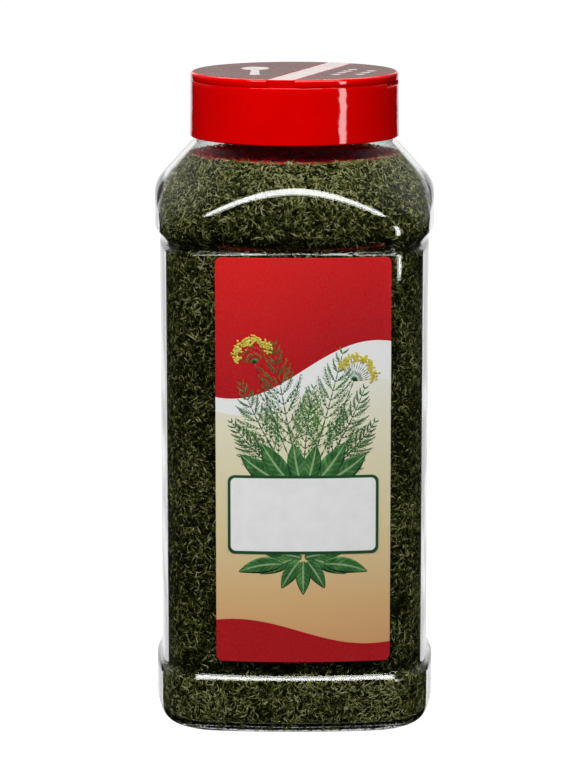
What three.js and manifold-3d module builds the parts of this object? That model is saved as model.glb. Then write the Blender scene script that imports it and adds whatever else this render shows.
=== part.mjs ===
// A square clear catering jar filled with dried dill tips, under a red screw cap with two flaps.
// Millimetres, +Z up. The jar stands on z = 0 with its axis on the Z axis and its label facing -Y.

import * as THREE from "three";
import { mergeVertices } from "three/addons/utils/BufferGeometryUtils.js";
import Module from "manifold-3d";

const wasm = await Module();
wasm.setup();

// Driving dimensions of the jar. A plan section is a rounded square: halfWidth is at mid-face,
// where the sides bow out to faceRadius, and cornerRadius rounds the corners.
const foot = { halfWidth: 44.6, faceRadius: 155, cornerRadius: 18.5 };
const footGroove = { halfWidth: 43, faceRadius: 148, cornerRadius: 17 };
const panel = { halfWidth: 42.9, faceRadius: 151.5, cornerRadius: 14 };
const shoulderGroove = { halfWidth: 42.1, faceRadius: 112, cornerRadius: 17 };
const shoulder = { halfWidth: 44.4, faceRadius: 165, cornerRadius: 18.5 };
const bands = [
  { z: 0, plan: foot },
  { z: 17.2, plan: foot },
  { z: 19.3, plan: footGroove },
  { z: 21.6, plan: panel },
  { z: 152.2, plan: panel },
  { z: 153.2, plan: shoulderGroove },
  { z: 157.4, plan: shoulder },
  { z: 200, plan: shoulder },
];
const bandLevels = bands.slice(1, -1).map((band) => band.z);
const heelRadius = 6;
const restInset = 6; // from the widest section in to the flat ring that the jar stands on
const restWidth = 8;
const pushUp = 2.6; // how far the middle of the base is pushed up
const wall = 1;
const floorRise = 1.6;
const neckRadius = 30.1;
const neckFootZ = 186;
const cone = { run: 0.925, blend: 3 }; // growth of its radius for each millimetre below the neck
const coneStep = 2.8; // height between the levels that the shoulder's cone is sampled at
const mouthRadius = 28.5;
const rimZ = 199.6;

// Screw thread: one right-hand start, with the cap's ridge half a lead below the neck's.
const lead = 4;
const neckThread = { rootRadius: 29.7, crestRadius: 31.2, startZ: 188.6, turns: 1.15 };
const capThread = { rootRadius: 32.1, crestRadius: 30.8, startZ: 188.6 - lead / 2, turns: 1.1 };
const threadRootHalf = 1;
const threadCrestHalf = 0.5;
const threadStepsPerTurn = 30;

// Cap, flaps and sealing ring. The centre bar is square to the direction that barTurn turns from X.
const capBottomZ = 185;
const capTopZ = 205.4;
const capRadius = 33.25;
const capTopRadius = 32.95;
const capBoreRadius = 31.6;
const deckTopZ = 202.8;
const deckThickness = 1.6;
const barTurn = THREE.MathUtils.degToRad(-17.7);
const barLow = 1.6;
const barHigh = 9.6;
const gap = 0.3;
const flapThickness = capTopZ - deckTopZ - gap;
const flapRound = 0.45;
const spoonHole = { radius: 24, low: -23, high: -4 };
const ribThickness = 0.8;
const ribClearance = 0.4;
const sealDepth = 1.2; // how far the rib and the pins reach below the deck's top
const shakerHoleRadius = 2.5;
const shakerPinRadius = 1.6;
const shakerHoles = [
  [13, -12],
  [13, -4],
  [13, 4],
  [13, 12],
  [20, -8],
  [20, 0],
  [20, 8],
];
const thumbNotch = { depth: 1.4, height: 1.2, width: 13 };
const liner = { innerRadius: 28, outerRadius: 31, z: rimZ + gap, thickness: 1 };

// Label on the front panel.
const label = { width: 54.4, centreX: 2.7, lowZ: 23.8, highZ: 151.7, cornerRadius: 2, thickness: 0.3 };

// Dill fill: a core that follows the jar's inside, covered with slivers of leaf.
const fill = { lowZ: 2.2, highZ: 179.5, inset: 2.7, topEdge: 1.5 };
const sliver = { count: 340, halfLength: 6.2, halfWidth: 1.3, proud: 1.05, sunk: 0.5 };
const topReach = 26; // how far in over the top of the fill the slivers are strewn

// Plan rays: every level of the jar is sampled along the same directions.
const faceSteps = 6;
const cornerSteps = 6;

// Distance from the origin to the far side of a circle, along a ray.
function rayToCircle(angle, x, y, radius) {
  const along = x * Math.cos(angle) + y * Math.sin(angle);
  const across = x * Math.sin(angle) - y * Math.cos(angle);
  return along + Math.sqrt(radius * radius - across * across);
}

// Where a side's arc meets the corner's arc, as the corner's centre and the angle of the shared normal.
function cornerOf({ halfWidth, faceRadius, cornerRadius }) {
  const reach = faceRadius - cornerRadius;
  const lean = Math.PI / 4 + Math.asin((halfWidth - faceRadius) / (Math.SQRT2 * reach));
  return { lean, centre: reach * Math.sin(lean) };
}

// Distance from the axis to a rounded square, along a ray.
function planRadius(angle, plan) {
  const { halfWidth, faceRadius, cornerRadius } = plan;
  const quarter = Math.PI / 2;
  const folded = Math.abs(angle - quarter * Math.round(angle / quarter));
  const { lean, centre } = cornerOf(plan);
  const joinX = centre + cornerRadius * Math.cos(lean);
  const joinY = centre + cornerRadius * Math.sin(lean);
  if (folded < Math.atan2(joinY, joinX)) {
    return rayToCircle(folded, halfWidth - faceRadius, 0, faceRadius);
  }
  return rayToCircle(folded, centre, centre, cornerRadius);
}

// The rays: even steps over each bowed face, then even steps round each corner's arc.
function planAngles() {
  const { lean, centre } = cornerOf(panel);
  const r = panel.cornerRadius;
  const faceEnd = Math.atan2(centre + r * Math.sin(lean), centre + r * Math.cos(lean));
  const angles = [];
  for (let side = 0; side < 4; side++) {
    const middle = (side * Math.PI) / 2;
    for (let i = 0; i < faceSteps; i++) {
      angles.push(middle + faceEnd * ((2 * i) / faceSteps - 1));
    }
    for (let i = 0; i < cornerSteps; i++) {
      const turn = lean + ((Math.PI / 2 - 2 * lean) * i) / cornerSteps;
      angles.push(middle + Math.atan2(centre + r * Math.sin(turn), centre + r * Math.cos(turn)));
    }
  }
  return angles;
}

// The radius at a height of the cone that joins the shoulder to the foot of the neck.
function coneRadius(z) {
  return neckRadius + cone.run * (neckFootZ - z);
}

function smoothMin(a, b, blend) {
  const close = Math.max(blend - Math.abs(a - b), 0);
  return Math.min(a, b) - (close * close) / (4 * blend);
}

// How far the rounded heel stands in at a height above the flat that it starts from.
function heelInset(height, radius) {
  const below = Math.min(Math.max(radius - height, 0), radius);
  return radius - Math.sqrt(radius * radius - below * below);
}

// The jar's outside: the band sections blended by height, cut by the cone, then the neck.
function bodyRadius(angle, z) {
  const above = Math.max(
    bands.findIndex((band) => band.z >= z),
    1,
  );
  const low = bands[above - 1];
  const high = bands[above];
  const share = (z - low.z) / (high.z - low.z);
  const side = THREE.MathUtils.lerp(planRadius(angle, low.plan), planRadius(angle, high.plan), share);
  const cut = smoothMin(side, coneRadius(z), cone.blend);
  return Math.max(cut, neckRadius) - heelInset(z, heelRadius);
}

const angles = planAngles();

function point(radius, angle, z) {
  return new THREE.Vector3(radius * Math.cos(angle), radius * Math.sin(angle), z);
}

function ring(radiusAt, z) {
  return angles.map((angle) => point(radiusAt(angle), angle, z));
}

// A closed skin over a list of rings. A ring with a single point is a pole. Rings run
// counter-clockwise about the direction in which the list travels.
function loft(rings) {
  const starts = [];
  const positions = [];
  for (const points of rings) {
    starts.push(positions.length / 3);
    for (const p of points) positions.push(p.x, p.y, p.z);
  }
  const index = [];
  for (let k = 0; k + 1 < rings.length; k++) {
    const lower = rings[k].length;
    const upper = rings[k + 1].length;
    const count = Math.max(lower, upper);
    for (let j = 0; j < count; j++) {
      const a = starts[k] + (j % lower);
      const b = starts[k] + ((j + 1) % lower);
      const c = starts[k + 1] + ((j + 1) % upper);
      const d = starts[k + 1] + (j % upper);
      if (lower > 1) index.push(a, b, c);
      if (upper > 1) index.push(a, c, d);
    }
  }
  const geometry = new THREE.BufferGeometry();
  geometry.setAttribute("position", new THREE.Float32BufferAttribute(positions, 3));
  geometry.setIndex(index);
  return geometry;
}

function toManifold(geometry) {
  const bare = geometry.clone();
  bare.deleteAttribute("normal");
  bare.deleteAttribute("uv");
  const merged = mergeVertices(bare, 1e-4);
  return new wasm.Manifold(
    new wasm.Mesh({
      numProp: 3,
      vertProperties: new Float32Array(merged.attributes.position.array),
      triVerts: new Uint32Array(merged.index.array),
    }),
  );
}

function toGeometry(solid) {
  const mesh = solid.getMesh();
  const geometry = new THREE.BufferGeometry();
  geometry.setAttribute("position", new THREE.BufferAttribute(mesh.vertProperties, 3));
  geometry.setIndex(new THREE.BufferAttribute(mesh.triVerts, 1));
  geometry.computeVertexNormals();
  return geometry;
}

function addMesh(group, name, geometry, look) {
  const mesh = new THREE.Mesh(geometry, new THREE.MeshStandardMaterial(look));
  mesh.name = name;
  group.add(mesh);
}

// A bar swept through a list of sections, closed at each end by a fan about the section's middle.
function sweep(sections) {
  const middle = (section) => {
    const sum = section.reduce((total, p) => total.add(p), new THREE.Vector3());
    return [sum.divideScalar(section.length)];
  };
  return loft([middle(sections[0]), ...sections, middle(sections.at(-1))]);
}

// A helical ridge of trapezoid section that tapers away at both ends.
function threadRidge({ rootRadius, crestRadius, startZ, turns }) {
  const steps = Math.round(turns * threadStepsPerTurn);
  const outer = Math.max(rootRadius, crestRadius);
  const inner = Math.min(rootRadius, crestRadius);
  const sections = [];
  for (let i = 0; i <= steps; i++) {
    const angle = (2 * Math.PI * turns * i) / steps;
    const z = startZ + (lead * angle) / (2 * Math.PI);
    const ends = Math.min(i, steps - i) / 3;
    const size = Math.min(0.25 + ends, 1);
    const half = (radius) => size * (radius === rootRadius ? threadRootHalf : threadCrestHalf);
    sections.push([
      point(inner, angle, z + half(inner)),
      point(outer, angle, z + half(outer)),
      point(outer, angle, z - half(outer)),
      point(inner, angle, z - half(inner)),
    ]);
  }
  return sweep(sections);
}

const restRadius = (inset) => (angle) => planRadius(angle, foot) - inset;
const crownRadius = (share) => (angle) => (planRadius(angle, foot) - restInset - restWidth) * share;
const crownLevels = [
  [0.6, pushUp * 0.8],
  [0.96, 0.5],
];

// The space inside the jar, drawn in from its walls by a clearance, up to just past the rim.
function cavity(clearance) {
  const base = floorRise + clearance;
  const levels = [base + heelRadius / 3, base + heelRadius, ...bandLevels];
  for (let z = bandLevels.at(-1) + coneStep; z < neckFootZ - 1; z += coneStep) levels.push(z);
  const inner = (z) => (angle) =>
    bodyRadius(angle, z) - wall - clearance - heelInset(z - base, heelRadius);
  const rings = [
    [point(0, 0, pushUp + base)],
    ...crownLevels.map(([share, z]) => ring(crownRadius(share), z + base)),
    ring(restRadius(restInset + 2), base),
    ...levels.map((z) => ring(inner(z), z)),
    ring(() => mouthRadius - clearance, neckFootZ),
    ring(() => mouthRadius - clearance, rimZ + 1),
    [point(0, 0, rimZ + 1)],
  ];
  return toManifold(loft(rings));
}

// The jar: its outside from the middle of the base up to the rim, less its cavity, with its thread.
function jarBody() {
  const levels = [heelRadius / 6, heelRadius / 2, heelRadius, ...bandLevels];
  for (let z = bandLevels.at(-1) + coneStep; z < neckFootZ - 1; z += coneStep) levels.push(z);
  levels.push(neckFootZ);
  const rings = [
    [point(0, 0, pushUp)],
    ...crownLevels.map(([share, z]) => ring(crownRadius(share), z)),
    ring(restRadius(restInset + restWidth), 0),
    ring(restRadius(restInset), 0),
    ...levels.map((z) => ring((angle) => bodyRadius(angle, z), z)),
    ring(() => neckRadius, rimZ - 0.5),
    ring(() => neckRadius - 0.5, rimZ),
    [point(0, 0, rimZ)],
  ];
  return toManifold(loft(rings)).subtract(cavity(0)).add(toManifold(threadRidge(neckThread)));
}

// Small repeatable random numbers between 0 and 1.
function seededRandom(seed) {
  let state = seed;
  return () => {
    state = (Math.imul(state, 1664525) + 1013904223) >>> 0;
    return state / 4294967296;
  };
}

// A point on the fill: climb runs up the side and then inwards over the top, and lift stands proud.
function fillPoint(angle, climb, lift) {
  const over = Math.max(climb - fill.highZ, 0);
  const z = Math.min(climb, fill.highZ);
  const side = bodyRadius(angle, z) - fill.inset - heelInset(z - floorRise, heelRadius);
  if (over > 0) return point(side - over, angle, z + lift);
  return point(side + lift, angle, z);
}

// The largest closed skin of a solid: hollows sealed between crossing slivers are filled.
function outerBody(solid) {
  return solid.decompose().reduce((a, b) => (a.volume() > b.volume() ? a : b));
}

function dillFill() {
  const climbs = [fill.lowZ, fill.lowZ + 3, ...bandLevels];
  for (let z = bandLevels.at(-1) + 4; z < fill.highZ - 2; z += 4) climbs.push(z);
  climbs.push(fill.highZ - fill.topEdge);
  const rings = [
    [point(0, 0, fill.lowZ)],
    ...climbs.map((z) => angles.map((angle) => fillPoint(angle, z, 0))),
    angles.map((angle) => fillPoint(angle, fill.highZ + fill.topEdge, 0)),
    [point(0, 0, fill.highZ)],
  ];
  const solids = [toManifold(loft(rings))];
  const random = seededRandom(7);
  const span = fill.highZ + topReach - fill.lowZ - 4;
  for (let i = 0; i < sliver.count; i++) {
    const around = 2 * Math.PI * ((i * 0.7548776662) % 1);
    const climb = fill.lowZ + 4 + span * ((i * 0.569840291) % 1);
    const heading = Math.PI * random();
    const scale = 0.75 + 0.45 * random();
    const inward = Math.max(climb - fill.highZ, 0);
    const radius = bodyRadius(around, Math.min(climb, fill.highZ)) - fill.inset - inward;
    const place = (along, across, lift) => {
      const sideways = along * Math.cos(heading) - across * Math.sin(heading);
      const upwards = along * Math.sin(heading) + across * Math.cos(heading);
      return fillPoint(around + (sideways * scale) / radius, climb + upwards * scale, lift);
    };
    const { halfLength, halfWidth, proud, sunk } = sliver;
    const tip = place(halfLength, 0, -sunk);
    const tail = place(-halfLength, 0, -sunk);
    const middle = [place(0, -halfWidth, -sunk), place(0, halfWidth, -sunk), place(0, 0, proud)];
    const solid = toManifold(loft([[tail], middle, [tip]]));
    solids.push(solid);
  }
  return outerBody(wasm.Manifold.union(solids).intersect(cavity(gap)));
}

// The label bends with the panel and has rounded corners.
function frontLabel() {
  const columns = 14;
  const half = label.width / 2;
  const sections = [];
  const panelY = (x, lift) => {
    const radius = panel.faceRadius + lift;
    return panel.faceRadius - panel.halfWidth - Math.sqrt(radius * radius - x * x);
  };
  for (let i = 0; i <= columns; i++) {
    const across = -half * Math.cos((Math.PI * i) / columns);
    const x = across + label.centreX;
    const inCorner = Math.max(Math.abs(across) - half + label.cornerRadius, 0);
    const cut = label.cornerRadius - Math.sqrt(Math.max(label.cornerRadius ** 2 - inCorner ** 2, 0));
    const low = label.lowZ + cut;
    const high = label.highZ - cut;
    const back = panelY(x, gap);
    const front = panelY(x, gap + label.thickness);
    sections.push([
      new THREE.Vector3(x, back, high),
      new THREE.Vector3(x, front, high),
      new THREE.Vector3(x, front, low),
      new THREE.Vector3(x, back, low),
    ]);
  }
  return sweep(sections);
}

// The slice of a disc that lies between two chords, as an outline that runs counter-clockwise.
function discSlice(radius, low, high, steps) {
  const lowAngle = Math.acos(Math.max(low / radius, -1));
  const highAngle = Math.acos(Math.min(high / radius, 1));
  const points = [];
  const put = (angle) => points.push(new THREE.Vector2(radius * Math.cos(angle), radius * Math.sin(angle)));
  for (let i = 0; i <= steps; i++) put(-THREE.MathUtils.lerp(lowAngle, highAngle, i / steps));
  const first = highAngle < 1e-6 ? 1 : 0;
  const last = Math.PI - lowAngle < 1e-6 ? steps - 1 : steps;
  for (let i = first; i <= last; i++) put(THREE.MathUtils.lerp(highAngle, lowAngle, i / steps));
  return new THREE.Shape(points);
}

function disc(radius, x, y, steps) {
  const points = [];
  for (let i = 0; i < steps; i++) {
    const angle = (2 * Math.PI * i) / steps;
    points.push(new THREE.Vector2(x + radius * Math.cos(angle), y + radius * Math.sin(angle)));
  }
  return new THREE.Shape(points);
}

// A plate of a given outline between two heights, turned so that it lines up with the centre bar.
function plate(shape, lowZ, highZ, round = 0) {
  const geometry = new THREE.ExtrudeGeometry(shape, {
    depth: highZ - lowZ - 2 * round,
    bevelEnabled: round > 0,
    bevelThickness: round,
    bevelSize: round,
    bevelOffset: -round,
    bevelSegments: 2,
  });
  geometry.translate(0, 0, lowZ + round);
  geometry.rotateZ(barTurn);
  return toManifold(geometry);
}

function boxOutline(lowX, highX, lowY, highY) {
  const corners = [
    [lowX, lowY],
    [highX, lowY],
    [highX, highY],
    [lowX, highY],
  ];
  return new THREE.Shape(corners.map(([x, y]) => new THREE.Vector2(x, y)));
}

// A solid of revolution about +Z from an outline of radius and height.
function turned(outline, segments) {
  const geometry = new THREE.LatheGeometry(
    outline.map(([radius, z]) => new THREE.Vector2(radius, z)),
    segments,
  );
  geometry.rotateX(Math.PI / 2);
  return toManifold(geometry);
}

// The cap's shell: skirt, deck, raised centre bar and thread, less the openings and thumb notches.
function capShell() {
  const underside = deckTopZ - deckThickness;
  let solid = turned(
    [
      [0, underside],
      [capBoreRadius, underside],
      [capBoreRadius, capBottomZ + 0.8],
      [capBoreRadius + 0.5, capBottomZ],
      [capRadius - 0.3, capBottomZ],
      [capRadius, capBottomZ + 0.4],
      [capTopRadius, deckTopZ - 0.3],
      [capTopRadius - 0.3, deckTopZ],
      [0, deckTopZ],
    ],
    60,
  );
  solid = solid.add(plate(discSlice(capTopRadius - 0.3, barLow, barHigh, 5), underside + 0.4, capTopZ));
  solid = solid.add(toManifold(threadRidge(capThread)));
  const through = [underside - 1, deckTopZ + 1];
  const spoonOutline = discSlice(spoonHole.radius, spoonHole.low, spoonHole.high, 9);
  solid = solid.subtract(plate(spoonOutline, ...through));
  for (const [x, y] of shakerHoles) {
    solid = solid.subtract(plate(disc(shakerHoleRadius, x, y, 16), ...through));
  }
  const notchLow = deckTopZ - thumbNotch.height;
  const inner = capTopRadius - thumbNotch.depth;
  const half = thumbNotch.width / 2;
  for (const [lowX, highX] of [
    [inner, inner + 5],
    [-inner - 5, -inner],
  ]) {
    solid = solid.subtract(plate(boxOutline(lowX, highX, -half, half), notchLow, deckTopZ + 1));
  }
  return solid;
}

// Spoon-side flap: a plate with a sealing rib just inside the spoon opening.
function spoonFlap() {
  const bottom = capTopZ - flapThickness;
  const outline = discSlice(capTopRadius, -capTopRadius, barLow - gap, 24);
  const inset = (by) =>
    discSlice(spoonHole.radius - by, spoonHole.low + by, spoonHole.high - by, 8);
  const rib = plate(inset(ribClearance), deckTopZ - sealDepth, bottom + 0.5).subtract(
    plate(inset(ribClearance + ribThickness), deckTopZ - sealDepth - 1, bottom + 0.2),
  );
  return plate(outline, bottom, capTopZ, flapRound).add(rib);
}

// Shaker-side flap: a plate with one sealing pin for each hole.
function shakerFlap() {
  const bottom = capTopZ - flapThickness;
  const outline = discSlice(capTopRadius, barHigh + gap, capTopRadius, 18);
  let solid = plate(outline, bottom, capTopZ, flapRound);
  for (const [x, y] of shakerHoles) {
    solid = solid.add(plate(disc(shakerPinRadius, x, y, 8), deckTopZ - sealDepth, bottom + 0.5));
  }
  return solid;
}

function capLiner() {
  const { innerRadius, outerRadius, z, thickness } = liner;
  return turned(
    [
      [innerRadius, z],
      [outerRadius, z],
      [outerRadius, z + thickness],
      [innerRadius, z + thickness],
      [innerRadius, z],
    ],
    48,
  );
}

const capRed = { color: 0xc80a0c, roughness: 0.22, metalness: 0 };

const dillJar = new THREE.Group();
addMesh(dillJar, "jar_body", toGeometry(jarBody()), {
  color: 0xe8efee,
  roughness: 0.08,
  metalness: 0,
  transparent: true,
  opacity: 0.3,
});
addMesh(dillJar, "dill_fill", toGeometry(dillFill()), { color: 0x4b5226, roughness: 0.85, metalness: 0 });
addMesh(dillJar, "front_label", frontLabel(), { color: 0xd8c9a0, roughness: 0.35, metalness: 0 });

const cap = new THREE.Group();
addMesh(cap, "cap_liner", toGeometry(capLiner()), { color: 0xe9e6dc, roughness: 0.6, metalness: 0 });
addMesh(cap, "cap_shell", toGeometry(capShell()), capRed);
addMesh(cap, "spoon_flap", toGeometry(spoonFlap()), capRed);
addMesh(cap, "shaker_flap", toGeometry(shakerFlap()), capRed);
dillJar.add(cap);

export default dillJar;
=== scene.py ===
# A square clear catering jar of dried dill tips, under a red screw cap with two flaps.
# Metres, +Z up: the jar stands on z = 0 with its axis on the Z axis and its label facing -Y.

import math

import bpy
import numpy as np
from mathutils import Matrix


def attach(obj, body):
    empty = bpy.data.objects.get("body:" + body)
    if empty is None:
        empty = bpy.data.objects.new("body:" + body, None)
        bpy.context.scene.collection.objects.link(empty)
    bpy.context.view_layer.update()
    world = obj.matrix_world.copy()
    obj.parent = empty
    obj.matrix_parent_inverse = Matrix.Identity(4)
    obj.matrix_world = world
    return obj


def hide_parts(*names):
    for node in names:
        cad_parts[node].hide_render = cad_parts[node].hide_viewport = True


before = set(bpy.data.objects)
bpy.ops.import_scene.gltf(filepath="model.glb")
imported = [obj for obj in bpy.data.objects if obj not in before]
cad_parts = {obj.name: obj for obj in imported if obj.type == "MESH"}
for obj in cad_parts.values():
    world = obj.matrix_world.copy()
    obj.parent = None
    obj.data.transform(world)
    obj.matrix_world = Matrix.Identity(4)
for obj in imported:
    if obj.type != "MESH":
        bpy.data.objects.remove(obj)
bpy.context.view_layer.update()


# Jar. The real one is blow-moulded clear PET, under a millimetre thick: a rounded square with
# bowed sides, a label panel set in between a foot band and a shoulder band, and a shoulder that
# draws in as a cone to a round threaded neck. The mould leaves a fine seam down two sides.

# A plan section is half width at mid-side, radius of the bowed side, radius of the corner.
FOOT = (0.0446, 0.155, 0.0185)
FOOT_GROOVE = (0.043, 0.148, 0.017)
PANEL = (0.0429, 0.1515, 0.014)
SHOULDER_GROOVE = (0.0421, 0.112, 0.017)
SHOULDER = (0.0444, 0.165, 0.0185)
BANDS = [
    (0.0, FOOT),
    (0.0172, FOOT),
    (0.0193, FOOT_GROOVE),
    (0.0216, PANEL),
    (0.1522, PANEL),
    (0.1532, SHOULDER_GROOVE),
    (0.1574, SHOULDER),
    (0.2, SHOULDER),
]
BAND_SOFTENING = np.linspace(-0.0004, 0.0004, 5)
# Runs of rings up the side: lowest, highest and how many, close where the side folds.
SIDE_RUNS = [
    (0.008, 0.0145, 4),
    (0.0162, 0.0222, 19),
    (0.026, 0.147, 24),
    (0.1495, 0.1585, 25),
    (0.1592, 0.1857, 46),
]
HEEL_RADIUS = 0.006
REST_INSET = 0.006
REST_WIDTH = 0.008
PUSH_UP = 0.0026
WALL = 0.0007
FLOOR_RISE = 0.0016
CONE_RUN = 0.925
CONE_BLEND = 0.003
CONE_WALL = 0.0009
CONE_WALL_FROM_Z = 0.164
CONE_WALL_RUN = 0.01
NECK_RADIUS = 0.0301
NECK_FOOT_Z = 0.186
MOUTH_RADIUS = 0.0285
RIM_Z = 0.1996
RIM_ROUND = 0.0006
LEAD = 0.004
NECK_THREAD_Z = 0.1886
NECK_THREAD_TURNS = 1.15
THREAD_HEIGHT = 0.0011
THREAD_HALF_WIDTH = 0.0009
THREAD_FLANK = 0.0004
THREAD_FADE = 0.08
SEAM_HEIGHT = 0.00007
SEAM_HALF_WIDTH = 0.0002


def ray_to_circle(angle, x, y, radius):
    """Distance from the axis to the far side of a circle: the centre's reach along the ray plus the
    half chord that the ray cuts."""
    along = x * np.cos(angle) + y * np.sin(angle)
    across = x * np.sin(angle) - y * np.cos(angle)
    return along + np.sqrt(radius**2 - across**2)


def corner_of(plan):
    """Angle of the normal that a side's arc and a corner's arc share, and the corner's centre."""
    half_width, face_radius, corner_radius = plan
    reach = face_radius - corner_radius
    lean = math.pi / 4 + math.asin((half_width - face_radius) / (math.sqrt(2) * reach))
    return lean, reach * math.sin(lean)


def plan_radius(angle, plan):
    """Distance from the axis to a rounded square: the ray is folded to the nearest side's middle,
    and meets the side's wide arc up to the corner, and the corner's small arc past it."""
    half_width, face_radius, corner_radius = plan
    quarter = np.pi / 2
    folded = np.abs(angle - quarter * np.round(angle / quarter))
    lean, centre = corner_of(plan)
    join_x = centre + corner_radius * math.cos(lean)
    join_y = centre + corner_radius * math.sin(lean)
    side = ray_to_circle(folded, half_width - face_radius, 0, face_radius)
    corner = ray_to_circle(folded, centre, centre, corner_radius)
    return np.where(folded < math.atan2(join_y, join_x), side, corner)


def heel_inset(height, radius):
    """How far a rounded heel stands in: radius less the half chord of its circle at that height."""
    below = np.clip(radius - height, 0, radius)
    return radius - np.sqrt(radius**2 - below**2)


def side_radius(angle, z):
    """Outside of the jar over its heel: plan radii of the bands blended by height, softened where
    bands meet, cut by the shoulder's cone with a smooth minimum, and never under the neck."""
    levels = [level for level, plan in BANDS]
    side = 0
    for unit, (level, plan) in zip(np.eye(len(BANDS)), BANDS):
        share = np.mean([np.interp(z + shift, levels, unit) for shift in BAND_SOFTENING], axis=0)
        side = side + share * plan_radius(angle, plan)
    cone = NECK_RADIUS + CONE_RUN * (NECK_FOOT_Z - z)
    close = np.maximum(CONE_BLEND - np.abs(side - cone), 0)
    cut = np.minimum(side, cone) - close**2 / (4 * CONE_BLEND)
    return np.maximum(cut, NECK_RADIUS)


def inner_radius(angle, z):
    """Inside of the jar: its side less the wall, which grows thicker up the cone, and less an inner
    heel on the outer one's centre, and never under the bore of the neck."""
    thicker = CONE_WALL * np.clip((z - CONE_WALL_FROM_Z) / CONE_WALL_RUN, 0, 1)
    heel = heel_inset(z - FLOOR_RISE, HEEL_RADIUS - FLOOR_RISE)
    return np.maximum(side_radius(angle, z) - WALL - thicker - heel, MOUTH_RADIUS)


def thread_ridge(angle, z, start_z, turns, height):
    """Height of a helical ridge: a flat crest with sloping flanks about the helix, which rises by
    the lead in a turn, for each pass of the helix over that angle, and fades out at its ends."""
    ridge = 0
    for full_turns in range(2):
        turned = (angle % (2 * np.pi)) / (2 * np.pi) + full_turns
        off = np.abs(z - start_z - LEAD * turned)
        flank = np.clip((THREAD_HALF_WIDTH - off) / THREAD_FLANK, 0, 1)
        fade = np.clip(turned / THREAD_FADE, 0, 1) * np.clip((turns - turned) / THREAD_FADE, 0, 1)
        ridge = np.maximum(ridge, height * flank * flank * (3 - 2 * flank) * fade)
    return ridge


def round_points(radius, angle, z):
    """Points at a radius, an angle and a height about the axis, as an array of rings."""
    radius, angle, z = np.broadcast_arrays(radius, angle, z)
    return np.stack([radius * np.cos(angle), radius * np.sin(angle), z], axis=-1)


def skin(rings, start=None, end=None, looped=False):
    """Points and faces of a closed skin: four-sided faces join each ring to the next, a fan to a
    pole closes an open end, and a looped skin joins its last ring to its first instead. Rings run
    counter-clockwise about the direction that they follow each other in."""
    count, across = rings.shape[:2]
    points = [rings.reshape(-1, 3)]
    index = np.arange(count * across).reshape(count, across)
    if looped:
        index = np.vstack([index, index[:1]])
    ahead = np.roll(index, -1, axis=1)
    quads = np.stack([index[:-1], ahead[:-1], ahead[1:], index[1:]], axis=-1).reshape(-1, 4)
    fans = []
    for pole, ring, turned in ((start, index[0], True), (end, index[-1], False)):
        if pole is None:
            continue
        middle = np.full(across, sum(len(group) for group in points))
        points.append(np.array([pole], float))
        pair = [np.roll(ring, -1), ring] if turned else [ring, np.roll(ring, -1)]
        fans.append(np.stack([*pair, middle], axis=-1))
    return np.vstack(points), [quads, *fans]


def make_piece(name, skins, sharp=None):
    """One mesh object at the origin from a list of skins, smooth shaded, and creased where two
    faces meet at more than the sharp angle in degrees."""
    points = np.vstack([part for part, kinds in skins])
    starts = np.cumsum([0] + [len(part) for part, kinds in skins])
    faces = [kind + first for first, (part, kinds) in zip(starts, skins) for kind in kinds]
    corners = np.concatenate([kind.ravel() for kind in faces]).astype(np.int32)
    sizes = np.concatenate([np.full(len(kind), kind.shape[1]) for kind in faces])
    mesh = bpy.data.meshes.new(name)
    mesh.vertices.add(len(points))
    mesh.vertices.foreach_set("co", points.astype(np.float32).ravel())
    mesh.loops.add(len(corners))
    mesh.loops.foreach_set("vertex_index", corners)
    mesh.polygons.add(len(sizes))
    mesh.polygons.foreach_set("loop_start", (np.cumsum(sizes) - sizes).astype(np.int32))
    mesh.polygons.foreach_set("use_smooth", np.ones(len(sizes), bool))
    mesh.update(calc_edges=True)
    if sharp is not None:
        mesh.set_sharp_from_angle(angle=math.radians(sharp))
    piece = bpy.data.objects.new(name, mesh)
    bpy.context.scene.collection.objects.link(piece)
    return piece


def plan_angles(face_steps, corner_steps):
    """Rays round the jar: even steps over each bowed side, even steps round each corner's arc, and
    four close ones on each side of the mould's two seams."""
    lean, centre = corner_of(PANEL)
    corner_radius = PANEL[2]
    turn = np.linspace(lean, np.pi / 2 - lean, corner_steps, endpoint=False)
    rise = centre + corner_radius * np.sin(turn)
    run = centre + corner_radius * np.cos(turn)
    face_end = math.atan2(rise[0], run[0])
    face = np.linspace(-face_end, face_end, face_steps, endpoint=False)
    side = np.concatenate([face, np.arctan2(rise, run)])
    around = np.concatenate([side + quarter * np.pi / 2 for quarter in range(4)])
    seam = np.array([-2, -1, 1, 2]) * SEAM_HALF_WIDTH / PANEL[0]
    return np.sort(np.concatenate([around, seam, seam + np.pi]) % (2 * np.pi))


angles = plan_angles(28, 14)
heel_turn = np.linspace(0.12, np.pi / 2, 8)
side_z = np.concatenate([HEEL_RADIUS * (1 - np.cos(heel_turn)), *[np.linspace(*run) for run in SIDE_RUNS]])
neck_z = np.linspace(NECK_FOOT_Z, RIM_Z - RIM_ROUND, 54)


def seam_height(angle):
    """Bead of the mould's seam: full height on the X axis, fading to nothing a half width away."""
    off = np.abs(np.sin(angle)) * PANEL[0] / SEAM_HALF_WIDTH
    return SEAM_HEIGHT * np.clip(1.5 - off, 0, 1)


def base_rings(share, inset, rise):
    """Rings of the pushed-up base: shares of the way from the axis to the flat that the jar stands
    on, at a height that falls with the fourth power of the share."""
    edge = plan_radius(angles, FOOT) - inset
    share = share[:, None]
    return round_points(edge * share, angles, rise + PUSH_UP * (1 - share**4))


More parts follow.
